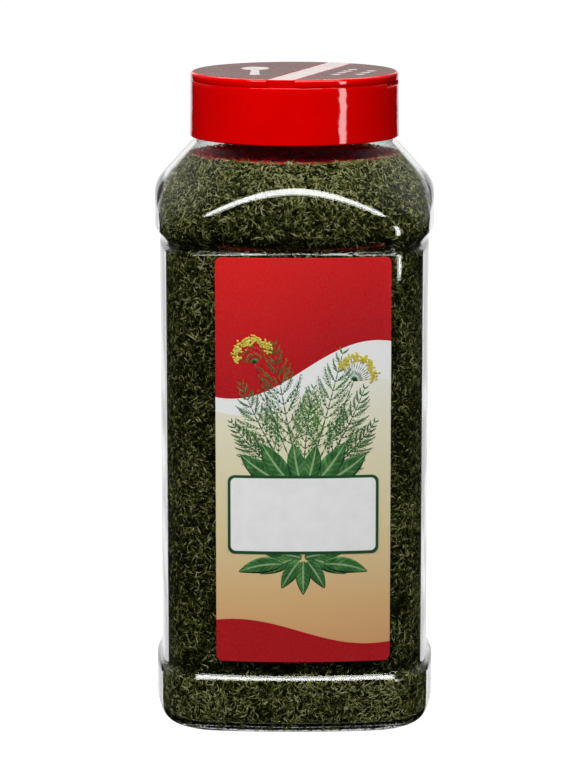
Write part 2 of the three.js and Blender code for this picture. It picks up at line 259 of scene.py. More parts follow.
seam_limit = np.where(seam_height(angles) > 0, FOOT[0], 1.0)
crown = np.array([0.03, 0.15, 0.3, 0.45, 0.6, 0.72, 0.82, 0.9, 0.96, 1.0])
outer_side = side_radius(angles, side_z[:, None]) - heel_inset(side_z, HEEL_RADIUS)[:, None]
neck_ridge = thread_ridge(angles, neck_z[:, None], NECK_THREAD_Z, NECK_THREAD_TURNS, THREAD_HEIGHT)
outside = np.vstack(
    [
        base_rings(crown, REST_INSET + REST_WIDTH, 0),
        round_points(plan_radius(angles, FOOT) - REST_INSET, angles, 0)[None],
        round_points(np.minimum(outer_side + seam_height(angles), seam_limit), angles, side_z[:, None]),
        round_points(NECK_RADIUS + neck_ridge, angles, neck_z[:, None]),
    ]
)
rim_turn = np.linspace(0.25, np.pi / 2, 4)
rim_out = np.concatenate([np.cos(rim_turn), -np.cos(rim_turn[-2::-1])])[:, None]
rim_up = np.concatenate([np.sin(rim_turn), np.sin(rim_turn[-2::-1])])[:, None]
lip_middle = (NECK_RADIUS + MOUTH_RADIUS) / 2
lip = (NECK_RADIUS - MOUTH_RADIUS) / 2
rim = round_points(lip_middle + lip * rim_out, angles, RIM_Z - RIM_ROUND * (1 - rim_up))
mouth_z = np.linspace(RIM_Z - 0.001, NECK_FOOT_Z + 0.0004, 5)
inner_z = np.concatenate([mouth_z, side_z[side_z > FLOOR_RISE + 0.0014][::-1]])
inside = np.vstack(
    [
        round_points(inner_radius(angles, inner_z[:, None]), angles, inner_z[:, None]),
        round_points(plan_radius(angles, FOOT) - REST_INSET, angles, FLOOR_RISE)[None],
        base_rings(crown[::-1], REST_INSET + REST_WIDTH, FLOOR_RISE),
    ]
)
jar = make_piece(
    "jar_body_clear",
    [skin(np.vstack([outside, rim, inside]), (0, 0, PUSH_UP), (0, 0, PUSH_UP + FLOOR_RISE))],
)


def new_material(name):
    """An empty node material and its tree."""
    material = bpy.data.materials.new(name)
    material.use_nodes = True
    material.node_tree.nodes.clear()
    return material, material.node_tree


def node(tree, kind, options=None, **inputs):
    """A shader node. Each input keyword is a socket's name with _ for a space, and gives its value
    or the socket that feeds it."""
    made = tree.nodes.new("ShaderNode" + kind)
    for option, value in (options or {}).items():
        setattr(made, option, value)
    for name, value in inputs.items():
        socket = made.inputs[name.replace("_", " ")]
        if isinstance(value, bpy.types.NodeSocket):
            tree.links.new(value, socket)
        else:
            socket.default_value = value
    return made


def show(tree, shader):
    """Joins a shader to the surface of a new output node."""
    tree.links.new(shader.outputs[0], tree.nodes.new("ShaderNodeOutputMaterial").inputs["Surface"])


def mottle(tree, scale, detail=2.0, stretch=(1, 1, 1)):
    """Noise on the piece's own Object coordinates, stretched by a Mapping node: about 0.5, a little
    up and down, with scale features in a metre."""
    place = node(tree, "TexCoord").outputs["Object"]
    mapped = node(tree, "Mapping", Vector=place, Scale=stretch).outputs["Vector"]
    return node(tree, "TexNoise", Vector=mapped, Scale=scale, Detail=detail).outputs["Fac"]


def spread(tree, value, low, high):
    """The noise's usual range of 0.3 to 0.7 carried to a range of one's own."""
    made = node(tree, "MapRange", Value=value, From_Min=0.3, From_Max=0.7, To_Min=low, To_Max=high)
    return made.outputs["Result"]


def bump(tree, height, depth, under=None):
    """Bump of a given depth in metres, on top of another bump where one is given."""
    made = node(tree, "Bump", Height=height, Distance=depth)
    if under is not None:
        tree.links.new(under, made.inputs["Normal"])
    return made.outputs["Normal"]


clear_pet, tree = new_material("clear_pet")
waves = bump(tree, mottle(tree, 38, detail=1), 0.0002)
peel = bump(tree, mottle(tree, 520), 0.000006, under=waves)
wall_shader = node(
    tree,
    "BsdfPrincipled",
    Base_Color=(0.95, 0.975, 0.965, 1),
    Roughness=spread(tree, mottle(tree, 60), 0.0, 0.02),
    IOR=1.57,
    Transmission_Weight=1.0,
    Normal=peel,
)
lit_through = node(tree, "BsdfTransparent", Color=(0.93, 0.95, 0.94, 1))
walls = tree.nodes.new("ShaderNodeMixShader")
tree.links.new(node(tree, "LightPath").outputs["Is Shadow Ray"], walls.inputs[0])
tree.links.new(wall_shader.outputs[0], walls.inputs[1])
tree.links.new(lit_through.outputs[0], walls.inputs[2])
show(tree, walls)
jar.data.materials.append(clear_pet)
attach(jar, "jar")
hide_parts("jar_body")


# Dill. The jar is filled with dried dill tips: thread-thin leaf segments, one to four millimetres
# long, bent, olive to yellow-green, with a few straw-coloured bits of stem. They lie pressed
# against the wall at all angles, over a mass of the same that is painted near black as painted shade.

FILL_LOW_Z = 0.0021
FILL_HIGH_Z = 0.1795
FILL_DEPTH = 0.0027
CORE_RELIEF = 0.0004
CORE_REACH = 0.044
CORE_EASE = 0.0006
TIPS_PER_HALF = 24000
TIPS_ON_TOP = 5500
SHORTEST_TIP = 0.0009
LONGEST_TIP = 0.0038
TIP_WIDTHS = (0.0002, 0.00046)
TIP_TILT = 0.22
TIP_BEND = 0.1
NEAREST_TIP = 0.00022
TIP_DEPTHS = 0.0021
STRAW_SHARE = 0.012
MEAN_TONE = 0.45
TIP_SPREAD = 0.32
PATCH_TONE = 0.05
BURIED_PAINTED_SHADE = 0.16
# Painted shade in the wall's folds, painted light up the shoulder and over the top, and a lighter band at
# the foot.
GROOVE_PAINTED_SHADE = 0.3
GROOVES = [(0.0212, 0.0016), (0.1545, 0.0022)]
TOP_PAINTED_LIGHT = 0.31
TOP_PAINTED_LIGHT_FROM_Z = 0.158
TOP_PAINTED_LIGHT_RUN = 0.02
FOOT_LIGHTENING = 0.18
FOOT_LIGHTENING_TOP_Z = 0.018
TOP_ROUNDING = 0.002
TOP_REACH = 0.033
WALL_CLEARANCE = 0.00012
FLOOR_CLEARANCE = 0.0002
dice = np.random.default_rng(41)


def fill_place(angle, climb, depth):
    """A point in the fill, a depth under the inside of the wall. The climb goes up the side and,
    past the fill's top, inwards over it, with a rounded shoulder between the two."""
    over = np.maximum(climb - FILL_HIGH_Z, 0)
    z = np.minimum(climb, FILL_HIGH_Z)
    hollow = inner_radius(angle, z)
    ease = np.exp(-over / TOP_ROUNDING)
    return round_points(hollow - over - depth * ease, angle, z - depth * (1 - ease))


def tones(angle, climb, spread_of):
    """How light each tip is, 0 to 1: a low wave of patches plus a draw of its own, less a painted
    shade in the folds of the wall, plus painted light up the shoulder and over the top, where
    light falls from above, and lighter in a band at the foot."""
    patches = np.sin(5 * angle + 90 * climb)
    patches = patches + np.sin(11 * angle - 140 * climb + 1) + np.sin(23 * angle + 260 * climb)
    # Painted shade: tips are darkened about the wall's two folds.
    fold_painted_shade = sum(np.exp(-(((climb - z) / half_width) ** 2)) for z, half_width in GROOVES)
    # Painted light: tips are lightened up the shoulder and over the top, where light falls from above.
    top_painted_light = TOP_PAINTED_LIGHT * np.clip((climb - TOP_PAINTED_LIGHT_FROM_Z) / TOP_PAINTED_LIGHT_RUN, 0, 1)
    # Tips are lighter in a band at the foot.
    foot_lightening = FOOT_LIGHTENING * (climb < FOOT_LIGHTENING_TOP_Z)
    return MEAN_TONE + PATCH_TONE * patches - GROOVE_PAINTED_SHADE * fold_painted_shade + (top_painted_light + foot_lightening) + spread_of


def floor_z(points):
    """Height of the jar's inner floor under each point: the pushed-up crown and the flat round it,
    plus a clearance."""
    angle = np.arctan2(points[:, 1], points[:, 0])
    reach = np.hypot(points[:, 0], points[:, 1])
    share = np.clip(reach / (plan_radius(angle, FOOT) - REST_INSET - REST_WIDTH), 0, 1)
    return FLOOR_RISE + FLOOR_CLEARANCE + PUSH_UP * (1 - share**4)


core_runs = [(0.0026, 0.024, 22), (0.028, 0.148, 40), (0.1495, FILL_HIGH_Z, 34)]
core_climb = np.concatenate([np.linspace(*run) for run in core_runs])
core_rings = fill_place(angles, core_climb[:, None], FILL_DEPTH - WALL)
core_floor = FLOOR_RISE + CORE_EASE
relief = dice.normal(0, 1, core_rings.shape[:2] + (1,))
for axis in (0, 1):
    relief = relief + np.roll(relief, 1, axis) + np.roll(relief, -1, axis)
core_rings[..., :2] *= 1 - np.abs(relief) * CORE_RELIEF / (4 * CORE_REACH)
top_shares = np.linspace(0.97, 0.05, 12)[:, None, None]
top_rings = core_rings[-1:] * np.concatenate([top_shares, top_shares, np.ones_like(top_shares)], axis=2)
top_rings[..., 2] -= FILL_DEPTH - WALL
core_rings[-1, :, 2] -= CORE_EASE
core_shape = np.vstack([base_rings(crown, REST_INSET + REST_WIDTH, core_floor), core_rings, top_rings])
core_poles = (0, 0, PUSH_UP + core_floor), (0, 0, FILL_HIGH_Z - FILL_DEPTH + WALL)
core = make_piece("dill_mass", [skin(core_shape, *core_poles)])


def spindles(centre, along, side, face, length, width, bend):
    """Points and faces of many bent spindles of eight faces: a tip at each end of the length and a
    square waist between them, set off sideways by the bend. All arguments hold a row for each."""
    count = len(centre)
    half = along * length[:, None] / 2
    waist = centre + side * bend[:, None]
    wide = side * width[:, None] / 2
    thick = face * width[:, None] / 3
    square = [waist + wide, waist + thick, waist - wide, waist - thick]
    points = np.stack([centre - half, *square, centre + half], axis=1)
    tail, belt, tip = 0, [1, 2, 3, 4], 5
    faces = [[tail, belt[(i + 1) % 4], belt[i]] for i in range(4)]
    faces += [[tip, belt[i], belt[(i + 1) % 4]] for i in range(4)]
    every = np.arange(count)[:, None, None] * 6 + np.array(faces)
    return points.reshape(-1, 3), [every.reshape(-1, 3)]


def strew(angle, climb):
    """Dried tips at places on the fill: each lies along the wall on a heading of its own, tilted a
    little, at a depth of its own, and is held inside the wall."""
    count = len(angle)
    depth = NEAREST_TIP + TIP_DEPTHS * dice.random(count) ** 1.4
    place = fill_place(angle, climb, depth)
    around = fill_place(angle + 0.002, climb, depth) - fill_place(angle - 0.002, climb, depth)
    upward = fill_place(angle, climb + 0.0001, depth) - fill_place(angle, climb - 0.0001, depth)
    around /= np.linalg.norm(around, axis=1, keepdims=True)
    upward /= np.linalg.norm(upward, axis=1, keepdims=True)
    outward = np.cross(around, upward)
    heading = dice.uniform(0, np.pi, count)[:, None]
    tilt = dice.normal(0, TIP_TILT, count)[:, None]
    along = np.cos(heading) * around + np.sin(heading) * upward + tilt * outward
    along /= np.linalg.norm(along, axis=1, keepdims=True)
    side = np.cross(outward, along)
    side /= np.linalg.norm(side, axis=1, keepdims=True)
    straw = dice.random(count) < STRAW_SHARE
    length = SHORTEST_TIP + (LONGEST_TIP - SHORTEST_TIP) * dice.random(count) ** 2
    length = np.where(straw, length * 1.2 + 0.0008, length)
    width = dice.uniform(*TIP_WIDTHS, count)
    bend = dice.normal(0, TIP_BEND, count) * length
    points, faces = spindles(place, along, side, np.cross(along, side), length, width, bend)
    reach = np.hypot(points[:, 0], points[:, 1])
    most = inner_radius(np.arctan2(points[:, 1], points[:, 0]), points[:, 2]) - WALL_CLEARANCE
    points[:, :2] *= np.minimum(most / np.maximum(reach, 1e-6), 1)[:, None]
    points[:, 2] = np.maximum(points[:, 2], floor_z(points))
    # Painted shade: tips lying deeper under the wall are painted darker in proportion to their depth.
    buried = (depth - NEAREST_TIP) / TIP_DEPTHS
    tone = tones(angle, climb, dice.normal(0, TIP_SPREAD, count) - BURIED_PAINTED_SHADE * buried)
    tone = np.clip(np.where(straw, 0.93 + 0.07 * dice.random(count), tone), 0, 0.9 + 0.1 * straw)
    return points, faces, np.repeat(tone, 6)


def add_tone(piece, tone):
    """Stores each point's tone as an attribute for the material."""
    piece.data.attributes.new("tone", "FLOAT", "POINT").data.foreach_set("value", tone.astype(np.float32))


def ramp(tree, factor, stops):
    """Colour ramp through (place, colour) stops."""
    made = node(tree, "ValToRGB", Fac=factor)
    elements = made.color_ramp.elements
    while len(elements) < len(stops):
        elements.new(0.5)
    for element, (place, colour) in zip(elements, stops):
        element.position = place
        element.color = (*colour, 1)
    return made.outputs["Color"]


def math_node(tree, operation, first, second=0.0):
    """One Math node on two values or sockets."""
    made = node(tree, "Math", {"operation": operation})
    for socket, value in zip(made.inputs, (first, second)):
        if isinstance(value, bpy.types.NodeSocket):
            tree.links.new(value, socket)
        else:
            socket.default_value = value
    return made.outputs[0]


def tone_ramp(tree, stops, scale, detail, fleck):
    """Colour ramp over the stored tone, flecked up and down by a fine noise."""
    tone = node(tree, "Attribute", {"attribute_name": "tone"}).outputs["Fac"]
    flecked = math_node(tree, "ADD", tone, spread(tree, mottle(tree, scale, detail), -fleck, fleck))
    return ramp(tree, flecked, stops)


def plain_finish(tree, **inputs):
    """The one shader of a finish that mixes no others, joined to its output."""
    show(tree, node(tree, "BsdfPrincipled", **inputs))


dried_dill, tree = new_material("dried_dill_tips")
dill_stops = [
    (0.0, (0.004, 0.005, 0.0008)),
    (0.3, (0.020, 0.025, 0.004)),
    (0.5, (0.066, 0.074, 0.012)),
    (0.7, (0.17, 0.18, 0.042)),
    (0.88, (0.37, 0.36, 0.15)),
    (1.0, (0.54, 0.49, 0.29)),
]
plain_finish(
    tree,
    Base_Color=tone_ramp(tree, dill_stops, 700, 3, 0.09),
    Roughness=spread(tree, mottle(tree, 300), 0.45, 0.7),
    Specular_IOR_Level=0.02,
    Normal=bump(tree, mottle(tree, 2600, stretch=(1, 1, 0.4)), 0.00005),
)

side_names = {"right": 0, "back": 1, "left": 2, "front": 3}
middle_z = 0.0935
halves = {"lower": (FILL_LOW_Z - 0.0005, middle_z), "upper": (middle_z, FILL_HIGH_Z + 0.001)}
arc_angles = np.linspace(-np.pi / 4, np.pi / 4, 400)
arc = round_points(plan_radius(arc_angles, PANEL), arc_angles, 0)
arc_lengths = np.concatenate([[0], np.cumsum(np.linalg.norm(np.diff(arc, axis=0), axis=1))])
for side_name, quarter in side_names.items():
    for half_name, (from_z, to_z) in halves.items():
        along_arc = dice.uniform(0, arc_lengths[-1], TIPS_PER_HALF)
        tip_angle = np.interp(along_arc, arc_lengths, arc_angles) + quarter * np.pi / 2
        tip_climb = dice.uniform(from_z, to_z, TIPS_PER_HALF)
        points, faces, tone = strew(tip_angle, tip_climb)
        tips = make_piece(f"dill_tips_{side_name}_{half_name}", [(points, faces)])
        add_tone(tips, tone)
        tips.data.materials.append(dried_dill)
        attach(tips, "jar")
        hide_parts("dill_fill")

top_angle = dice.uniform(0, 2 * np.pi, TIPS_ON_TOP)
top_reach = TOP_REACH * (1 - np.sqrt(dice.random(TIPS_ON_TOP)))
points, faces, tone = strew(top_angle, FILL_HIGH_Z + top_reach)
tips = make_piece("dill_tips_top", [(points, faces)])
add_tone(tips, tone)
# Painted red light and shade: the tips over the fill's top, under the cap, are coloured dark red in place
# of the red light that the cap lets through and the shade beneath it.
painted_shade_dill, tree = new_material("dill_painted_red_light_and_shade")
painted_red_shade_stops = [(0.0, (0.30, 0.0, 0.002)), (0.45, (0.72, 0.001, 0.012)), (1.0, (0.90, 0.03, 0.06))]
painted_red_shade_colour = tone_ramp(tree, painted_red_shade_stops, 700, 3, 0.09)
plain_finish(tree, Base_Color=painted_red_shade_colour, Roughness=0.7, Specular_IOR_Level=0.02)
tips.data.materials.append(painted_shade_dill)
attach(tips, "jar")

# Painted shade: the mass under the tips gets a near-black tone for the shade deep inside the fill.
add_tone(core, np.full(len(core.data.vertices), 0.03))
core.data.materials.append(dried_dill)
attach(core, "jar")


# Label. One glossy self-adhesive film wraps the front panel, printed in process colours: a red
# field over a white band, a ground that runs from cream to orange, and a blank name plate with a
# green border. Its edges are die-cut with rounded corners.

LABEL_WIDTH = 0.0544
LABEL_X = 0.0027
LABEL_LOW_Z = 0.0238
LABEL_HIGH_Z = 0.1517
LABEL_CORNER = 0.002
FILM_LIFT = 0.0002
FILM_THICKNESS = 0.00026
FILM_COLUMNS = 64
INK = 0.000016
WAVE_Z = 0.1125
WAVE_HEIGHT = 0.0075
WAVE_TURN = 75.0
BAND_HALF_WIDTH = 0.0042
BAND_WIDENING = 0.075
RED_DEPTH = 22.0
GROUND_HEIGHT = 0.09
STRIP_Z = 0.0335
STRIP_WAVE = -0.004


def panel_point(x, z, lift):
    """A point on the front panel, lifted off it: the panel is an arc about an axis behind it."""
    half_width, face_radius = PANEL[:2]
    y = face_radius - half_width - np.sqrt((face_radius + lift) ** 2 - x**2)
    return np.stack(np.broadcast_arrays(x, y, z), axis=-1)


def film(x, width, low_z, high_z, corner, lift, thickness):
    """A thin sheet bent to the panel with rounded corners: upright sections of four points from
    side to side, each cut short at its ends by the corner's circle."""
    half = width / 2
    across = -half * np.cos(np.linspace(0.02, np.pi - 0.02, FILM_COLUMNS))
    in_corner = np.maximum(np.abs(across) - half + corner, 0)
    cut = corner - np.sqrt(np.maximum(corner**2 - in_corner**2, 0))
    low, high = low_z + cut, high_z - cut
    back, front = lift, lift + thickness
    across = across + x
    sections = np.stack(
        [
            panel_point(across, high, back),
            panel_point(across, high, front),
            panel_point(across, low, front),
            panel_point(across, low, back),
        ],
        axis=1,
    )
    return skin(sections, sections[0].mean(axis=0), sections[-1].mean(axis=0))


label = make_piece(
    "label_film",
    [film(LABEL_X, LABEL_WIDTH, LABEL_LOW_Z, LABEL_HIGH_Z, LABEL_CORNER, FILM_LIFT, FILM_THICKNESS)],
    sharp=40,
)


def mix_colour(tree, factor, first, second):
    """Colour between two colours or sockets."""
    made = tree.nodes.new("ShaderNodeMix")
    made.data_type = "RGBA"
    for name, value in (("Factor", factor), ("A", first), ("B", second)):
        socket = [s for s in made.inputs if s.name == name and (name == "Factor" or s.type == "RGBA")][0]
        if isinstance(value, bpy.types.NodeSocket):
            tree.links.new(value, socket)
        else:
            socket.default_value = value
    return [s for s in made.outputs if s.type == "RGBA"][0]


PRINT_RED = (0.68, 0.010, 0.010)
PRINT_DEEP_RED = (0.40, 0.004, 0.008)
PRINT_WHITE = (0.82, 0.83, 0.82)
printed_film, tree = new_material("printed_film")
where = node(tree, "SeparateXYZ", Vector=node(tree, "TexCoord").outputs["Object"])
from_middle = math_node(tree, "SUBTRACT", where.outputs["X"], LABEL_X)
sway = math_node(tree, "SINE", math_node(tree, "MULTIPLY", from_middle, WAVE_TURN))
field_edge = math_node(tree, "ADD", math_node(tree, "MULTIPLY", sway, WAVE_HEIGHT), WAVE_Z)
over_edge = math_node(tree, "SUBTRACT", where.outputs["Z"], field_edge)
over_foot = math_node(tree, "SUBTRACT", where.outputs["Z"], LABEL_LOW_Z)
ground = ramp(
    tree,
    math_node(tree, "DIVIDE", over_foot, GROUND_HEIGHT),
    [
        (0.0, (0.62, 0.30, 0.13)),
        (0.22, (0.66, 0.42, 0.19)),
        (0.5, (0.70, 0.60, 0.34)),
        (0.8, (0.74, 0.71, 0.52)),
        (1.0, (0.78, 0.78, 0.68)),
    ],
)
red_field = mix_colour(
    tree,
    math_node(tree, "MULTIPLY", over_edge, RED_DEPTH),
    (*PRINT_DEEP_RED, 1),
    (*PRINT_RED, 1),
)
widening = math_node(tree, "MULTIPLY", from_middle, BAND_WIDENING)
band_width = math_node(tree, "ADD", widening, BAND_HALF_WIDTH)
in_band = math_node(tree, "LESS_THAN", math_node(tree, "ABSOLUTE", over_edge), band_width)
in_red = math_node(tree, "GREATER_THAN", over_edge, 0.0)
foot_edge = math_node(tree, "ADD", math_node(tree, "MULTIPLY", sway, STRIP_WAVE), STRIP_Z)
in_foot = math_node(tree, "LESS_THAN", where.outputs["Z"], foot_edge)
printed = mix_colour(tree, in_foot, ground, (*PRINT_DEEP_RED, 1))
printed = mix_colour(tree, in_red, printed, red_field)
printed = mix_colour(tree, in_band, printed, (*PRINT_WHITE, 1))
grain = spread(tree, mottle(tree, 1500, detail=3), 0.0, 0.03)
printed = mix_colour(tree, grain, printed, (0.5, 0.5, 0.5, 1))
plain_finish(
    tree,
    Base_Color=printed,
    Roughness=spread(tree, mottle(tree, 90), 0.3, 0.42),
    Specular_IOR_Level=0.3,
    Normal=bump(tree, mottle(tree, 45, detail=1), 0.00004),
)
label.data.materials.append(printed_film)
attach(label, "jar")
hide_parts("front_label")


# Name plate. A blank white plate with a dark green border is printed across the label, level, with
# nothing written on it.

PLATE_WIDTH = 0.047
PLATE_LOW_Z = 0.0585
PLATE_HIGH_Z = 0.0835
PLATE_BORDER = 0.0009
PLATE_CORNER = 0.0022
GROUND_CORNER = 0.0016
plate_lift = FILM_LIFT + FILM_THICKNESS
border = make_piece(
    "plate_border",
    [film(LABEL_X, PLATE_WIDTH, PLATE_LOW_Z, PLATE_HIGH_Z, PLATE_CORNER, plate_lift + 4 * INK, 3 * INK)],
    sharp=40,
)
plate = make_piece(
    "plate_ground",
    [
        film(
            LABEL_X,
            PLATE_WIDTH - 2 * PLATE_BORDER,
            PLATE_LOW_Z + PLATE_BORDER,
            PLATE_HIGH_Z - PLATE_BORDER,
            GROUND_CORNER,
            plate_lift + 6 * INK,
            2 * INK,
        )
    ],
    sharp=40,
)


def ink_material(name, dark, light, scale=240, roughness=0.3, specular=0.3):
    """Printed ink: two close tones mottled together, with a gloss of its own."""
    material, tree = new_material(name)
    colour = mix_colour(tree, spread(tree, mottle(tree, scale, detail=4), 0, 1), (*dark, 1), (*light, 1))
    plain_finish(
        tree,
        Base_Color=colour,
        Roughness=spread(tree, mottle(tree, 90), roughness, roughness + 0.12),
        Specular_IOR_Level=specular,
        Normal=bump(tree, mottle(tree, 45, detail=1), 0.00004),
    )
    return material


for piece, material in (
    (border, ink_material("border_green_ink", (0.012, 0.055, 0.02), (0.02, 0.08, 0.03))),
    (plate, ink_material("plate_white_ink", (0.80, 0.81, 0.80), (0.85, 0.86, 0.85))),
):
    piece.data.materials.append(material)
    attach(piece, "jar")


# Printed sprigs. A generic herb motif in greens: a bouquet of feathery fronds with two heads of
# small yellow flowers fans up from behind the plate, over broad leaves, and a garland of plain
# leaves hangs under it. Each is a film of ink with a slight relief.

FROND_LIFT = plate_lift + 1.6 * INK
FROND_PAIRS = 10
BARE_STEPS = 4
BRANCH_STEPS = 8
STEM_WIDTHS = (0.0006, 0.0003)
BRANCH_WIDTHS = (0.00042, 0.00024)
THREAD_WIDTHS = (0.00034, 0.0002)
BRANCH_REACH = 0.42
BRANCH_CURL = 0.5
THREAD_REACH = 0.34
THREAD_LEAN = 0.62
THREAD_CURL = 0.4
UMBEL_RAYS = 15
RAY_LENGTH = 0.0072
DOTS_ON_RAY = 11
DOT_SCATTER = 0.00062
DOT_SIDES = 8
LEAF_SECTIONS = 22
LEAF_COLUMNS = 9
BOUQUET_FOOT_Z = 0.0575

# A frond is the place of its foot across the label, lean, reach, sweep and tone.
BOUQUET = [
    (-0.0030, -1.02, 0.0270, 0.42, 0.30),
    (0.0030, 1.02, 0.0270, -0.42, 0.34),
    (-0.0022, -0.66, 0.0350, 0.30, 0.48),
    (0.0022, 0.70, 0.0340, -0.34, 0.42),
    (-0.0008, -0.24, 0.0440, 0.10, 0.40),
    (0.0010, 0.30, 0.0420, -0.06, 0.52),
    (0.0, 0.02, 0.0300, 0.16, 0.60),
]
FLOWER_HEADS = [
    (-0.001, -0.42, 0.0400, 0.12),
    (0.0012, 0.50, 0.0350, -0.14),
]

# A leaf is the place and height of its foot, lean, reach, width and sweep.
GARLAND = [
    (-0.0005, 0.0335, -1.25, 0.0125, 0.0052, -0.35),
    (0.0005, 0.0335, 1.25, 0.0125, 0.0052, 0.35),
    (-0.0035, 0.0330, -1.85, 0.0115, 0.0048, -0.3),
    (0.0035, 0.0330, 1.85, 0.0115, 0.0048, 0.3),
    (-0.0012, 0.0325, -2.45, 0.0108, 0.0046, -0.25),
    (0.0012, 0.0325, 2.45, 0.0108, 0.0046, 0.25),
    (0.0, 0.0325, 3.14, 0.0112, 0.0048, 0.0),
    (-0.0065, 0.0315, -1.5, 0.0145, 0.0050, -0.5),
    (0.0065, 0.0315, 1.5, 0.0145, 0.0050, 0.5),
    (-0.0075, 0.0580, -1.15, 0.0150, 0.0062, 0.35),
    (0.0075, 0.0580, 1.15, 0.0150, 0.0062, -0.35),
    (-0.0045, 0.0580, -0.75, 0.0150, 0.0064, 0.25),
    (0.0045, 0.0580, 0.75, 0.0150, 0.0064, -0.25),
    (-0.0010, 0.0580, -0.25, 0.0125, 0.0058, 0.15),
    (0.0015, 0.0580, 0.30, 0.0120, 0.0056, -0.15),
]


def on_label(x, z, lift):
    """A point of the print by its place across the label and its height above the label's foot."""
    return panel_point(x + LABEL_X, z + LABEL_LOW_Z, lift)


def path(foot_x, foot_z, lean, curl, length, steps):
    """Points along bent lines, one to a row: each leans from the vertical by its angle, which
    grows evenly by its curl along its length. Returns their places and their leans."""
    share = np.linspace(0, 1, steps + 1)[None, :]
    turn = lean[:, None] + curl[:, None] * share
    step = (length / steps)[:, None] * (share > 0)
    x = foot_x[:, None] + np.cumsum(np.sin(turn) * step, axis=1)
    z = foot_z[:, None] + np.cumsum(np.cos(turn) * step, axis=1)
    return x, z, turn


def strokes(x, z, from_width, to_width, tone):
    """Spindles of ink along bent lines: one for each step, tapering from the first width to the
    last, with a tone for each line. Returns a skin and a tone for each of its points."""
    first = on_label(x[:, :-1], z[:, :-1], FROND_LIFT).reshape(-1, 3)
    last = on_label(x[:, 1:], z[:, 1:], FROND_LIFT).reshape(-1, 3)
    along = last - first
    length = np.linalg.norm(along, axis=1)
    along /= length[:, None]
    outward = np.zeros_like(along)
    outward[:, 1] = -1
    width = np.broadcast_to(np.linspace(from_width, to_width, x.shape[1] - 1), x[:, :-1].shape).ravel()
    side = np.cross(outward, along)
    skin_of = spindles((first + last) / 2, along, side, outward * 0.1, length * 1.25, width, 0 * width)
    return skin_of, np.repeat(np.repeat(tone, x.shape[1] - 1), 6)


def frond(foot_x, foot_z, lean, reach, sweep, tone):
    """One feathery frond: a bent stem, paired branches that shorten towards its tip and curl up to
    it, and paired threads on each branch, each with a little of its own in length and lean."""
    line = np.array([[foot_x], [foot_z], [lean], [sweep], [reach]])
    stem_x, stem_z, stem_lean = path(*line, BARE_STEPS + FROND_PAIRS)
    parts = [strokes(stem_x, stem_z, *STEM_WIDTHS, np.array([tone - 0.1]))]
    leafy = slice(BARE_STEPS, None)
    share = np.linspace(0.3, 1, FROND_PAIRS + 1)
    along = np.linspace(0, 1, BRANCH_STEPS + 1)[None, 1:]
    for hand in (-1, 1):
        length = reach * BRANCH_REACH * (1.12 - share) * dice.uniform(0.85, 1.15, len(share))
        out = stem_lean[0, leafy] + hand * dice.uniform(0.75, 1.0, len(share))
        curl = np.full_like(out, -hand * BRANCH_CURL)
        x, z, branch_lean = path(stem_x[0, leafy], stem_z[0, leafy], out, curl, length, BRANCH_STEPS)
        parts.append(strokes(x, z, *BRANCH_WIDTHS, tone + dice.normal(0, 0.06, len(share))))
        feet = x[:, 1:].ravel(), z[:, 1:].ravel()
        for thread_hand in (-1, 1):
            uneven = dice.uniform(0.7, 1.3, (len(share), BRANCH_STEPS))
            thread = (THREAD_REACH * length[:, None] * (1.15 - along) * uneven).ravel()
            thread_out = (branch_lean[:, 1:] + thread_hand * THREAD_LEAN).ravel()
            thread_out = thread_out + dice.normal(0, 0.12, thread.shape)
            thread_curl = np.full_like(thread, -thread_hand * THREAD_CURL)
            x, z, _ = path(*feet, thread_out, thread_curl, thread, 3)
            thread_tone = tone + 0.12 + dice.normal(0, 0.12, thread.shape)
            parts.append(strokes(x, z, *THREAD_WIDTHS, thread_tone))
    return parts


def flower_head(foot_x, foot_z, lean, reach, sweep):
    """One umbel: a bare stem, rays that spread from its end like a fan, and a cluster of round dots
    at the end of each ray. Returns the green parts, and the dots' places."""
    line = np.array([[foot_x], [foot_z], [lean], [sweep], [reach]])
    x, z, turn = path(*line, 12)
    stem = strokes(x, z, 0.00055, 0.0004, np.array([0.35]))
    fan = np.linspace(-1.25, 1.25, UMBEL_RAYS)
    ray_length = RAY_LENGTH * (0.75 + 0.25 * np.cos(fan)) * dice.uniform(0.9, 1.1, fan.shape)
    hub = np.full_like(fan, x[0, -1]), np.full_like(fan, z[0, -1])
    ray_x, ray_z, _ = path(*hub, turn[0, -1] + fan, -0.25 * fan, ray_length, 4)
    rays = strokes(ray_x, ray_z, 0.0003, 0.00022, np.full_like(fan, 0.5))
    ends = np.stack([ray_x[:, -1], ray_z[:, -1]], axis=-1)[:, None]
    dots = ends + dice.normal(0, DOT_SCATTER, (UMBEL_RAYS, DOTS_ON_RAY, 2))
    return [stem, rays], dots.reshape(-1, 2)


def dot_film(places, size):
    """Small round dots of ink: stacked rings of eight, a wide low one and a narrow high one."""
    turn = np.linspace(0, 2 * np.pi, DOT_SIDES, endpoint=False)[::-1]
    skins = []
    for share, lift in ((1.0, 0.4), (0.6, 3.2)):
        x = places[:, :1] + size[:, None] * share * np.cos(turn)
        z = places[:, 1:] + size[:, None] * share * np.sin(turn)
        skins.append(on_label(x, z, FROND_LIFT + lift * INK))
    points = np.stack(skins, axis=1).reshape(-1, 3)
    index = np.arange(DOT_SIDES)
    ahead = np.roll(index, -1)
    band = np.stack([index, ahead, ahead + DOT_SIDES, index + DOT_SIDES], axis=-1)
    first = 2 * DOT_SIDES * np.arange(len(places))[:, None, None]
    lids = np.stack([index[::-1], index + DOT_SIDES])
    return points, [(first + band).reshape(-1, 4), (first + lids).reshape(-1, DOT_SIDES)]


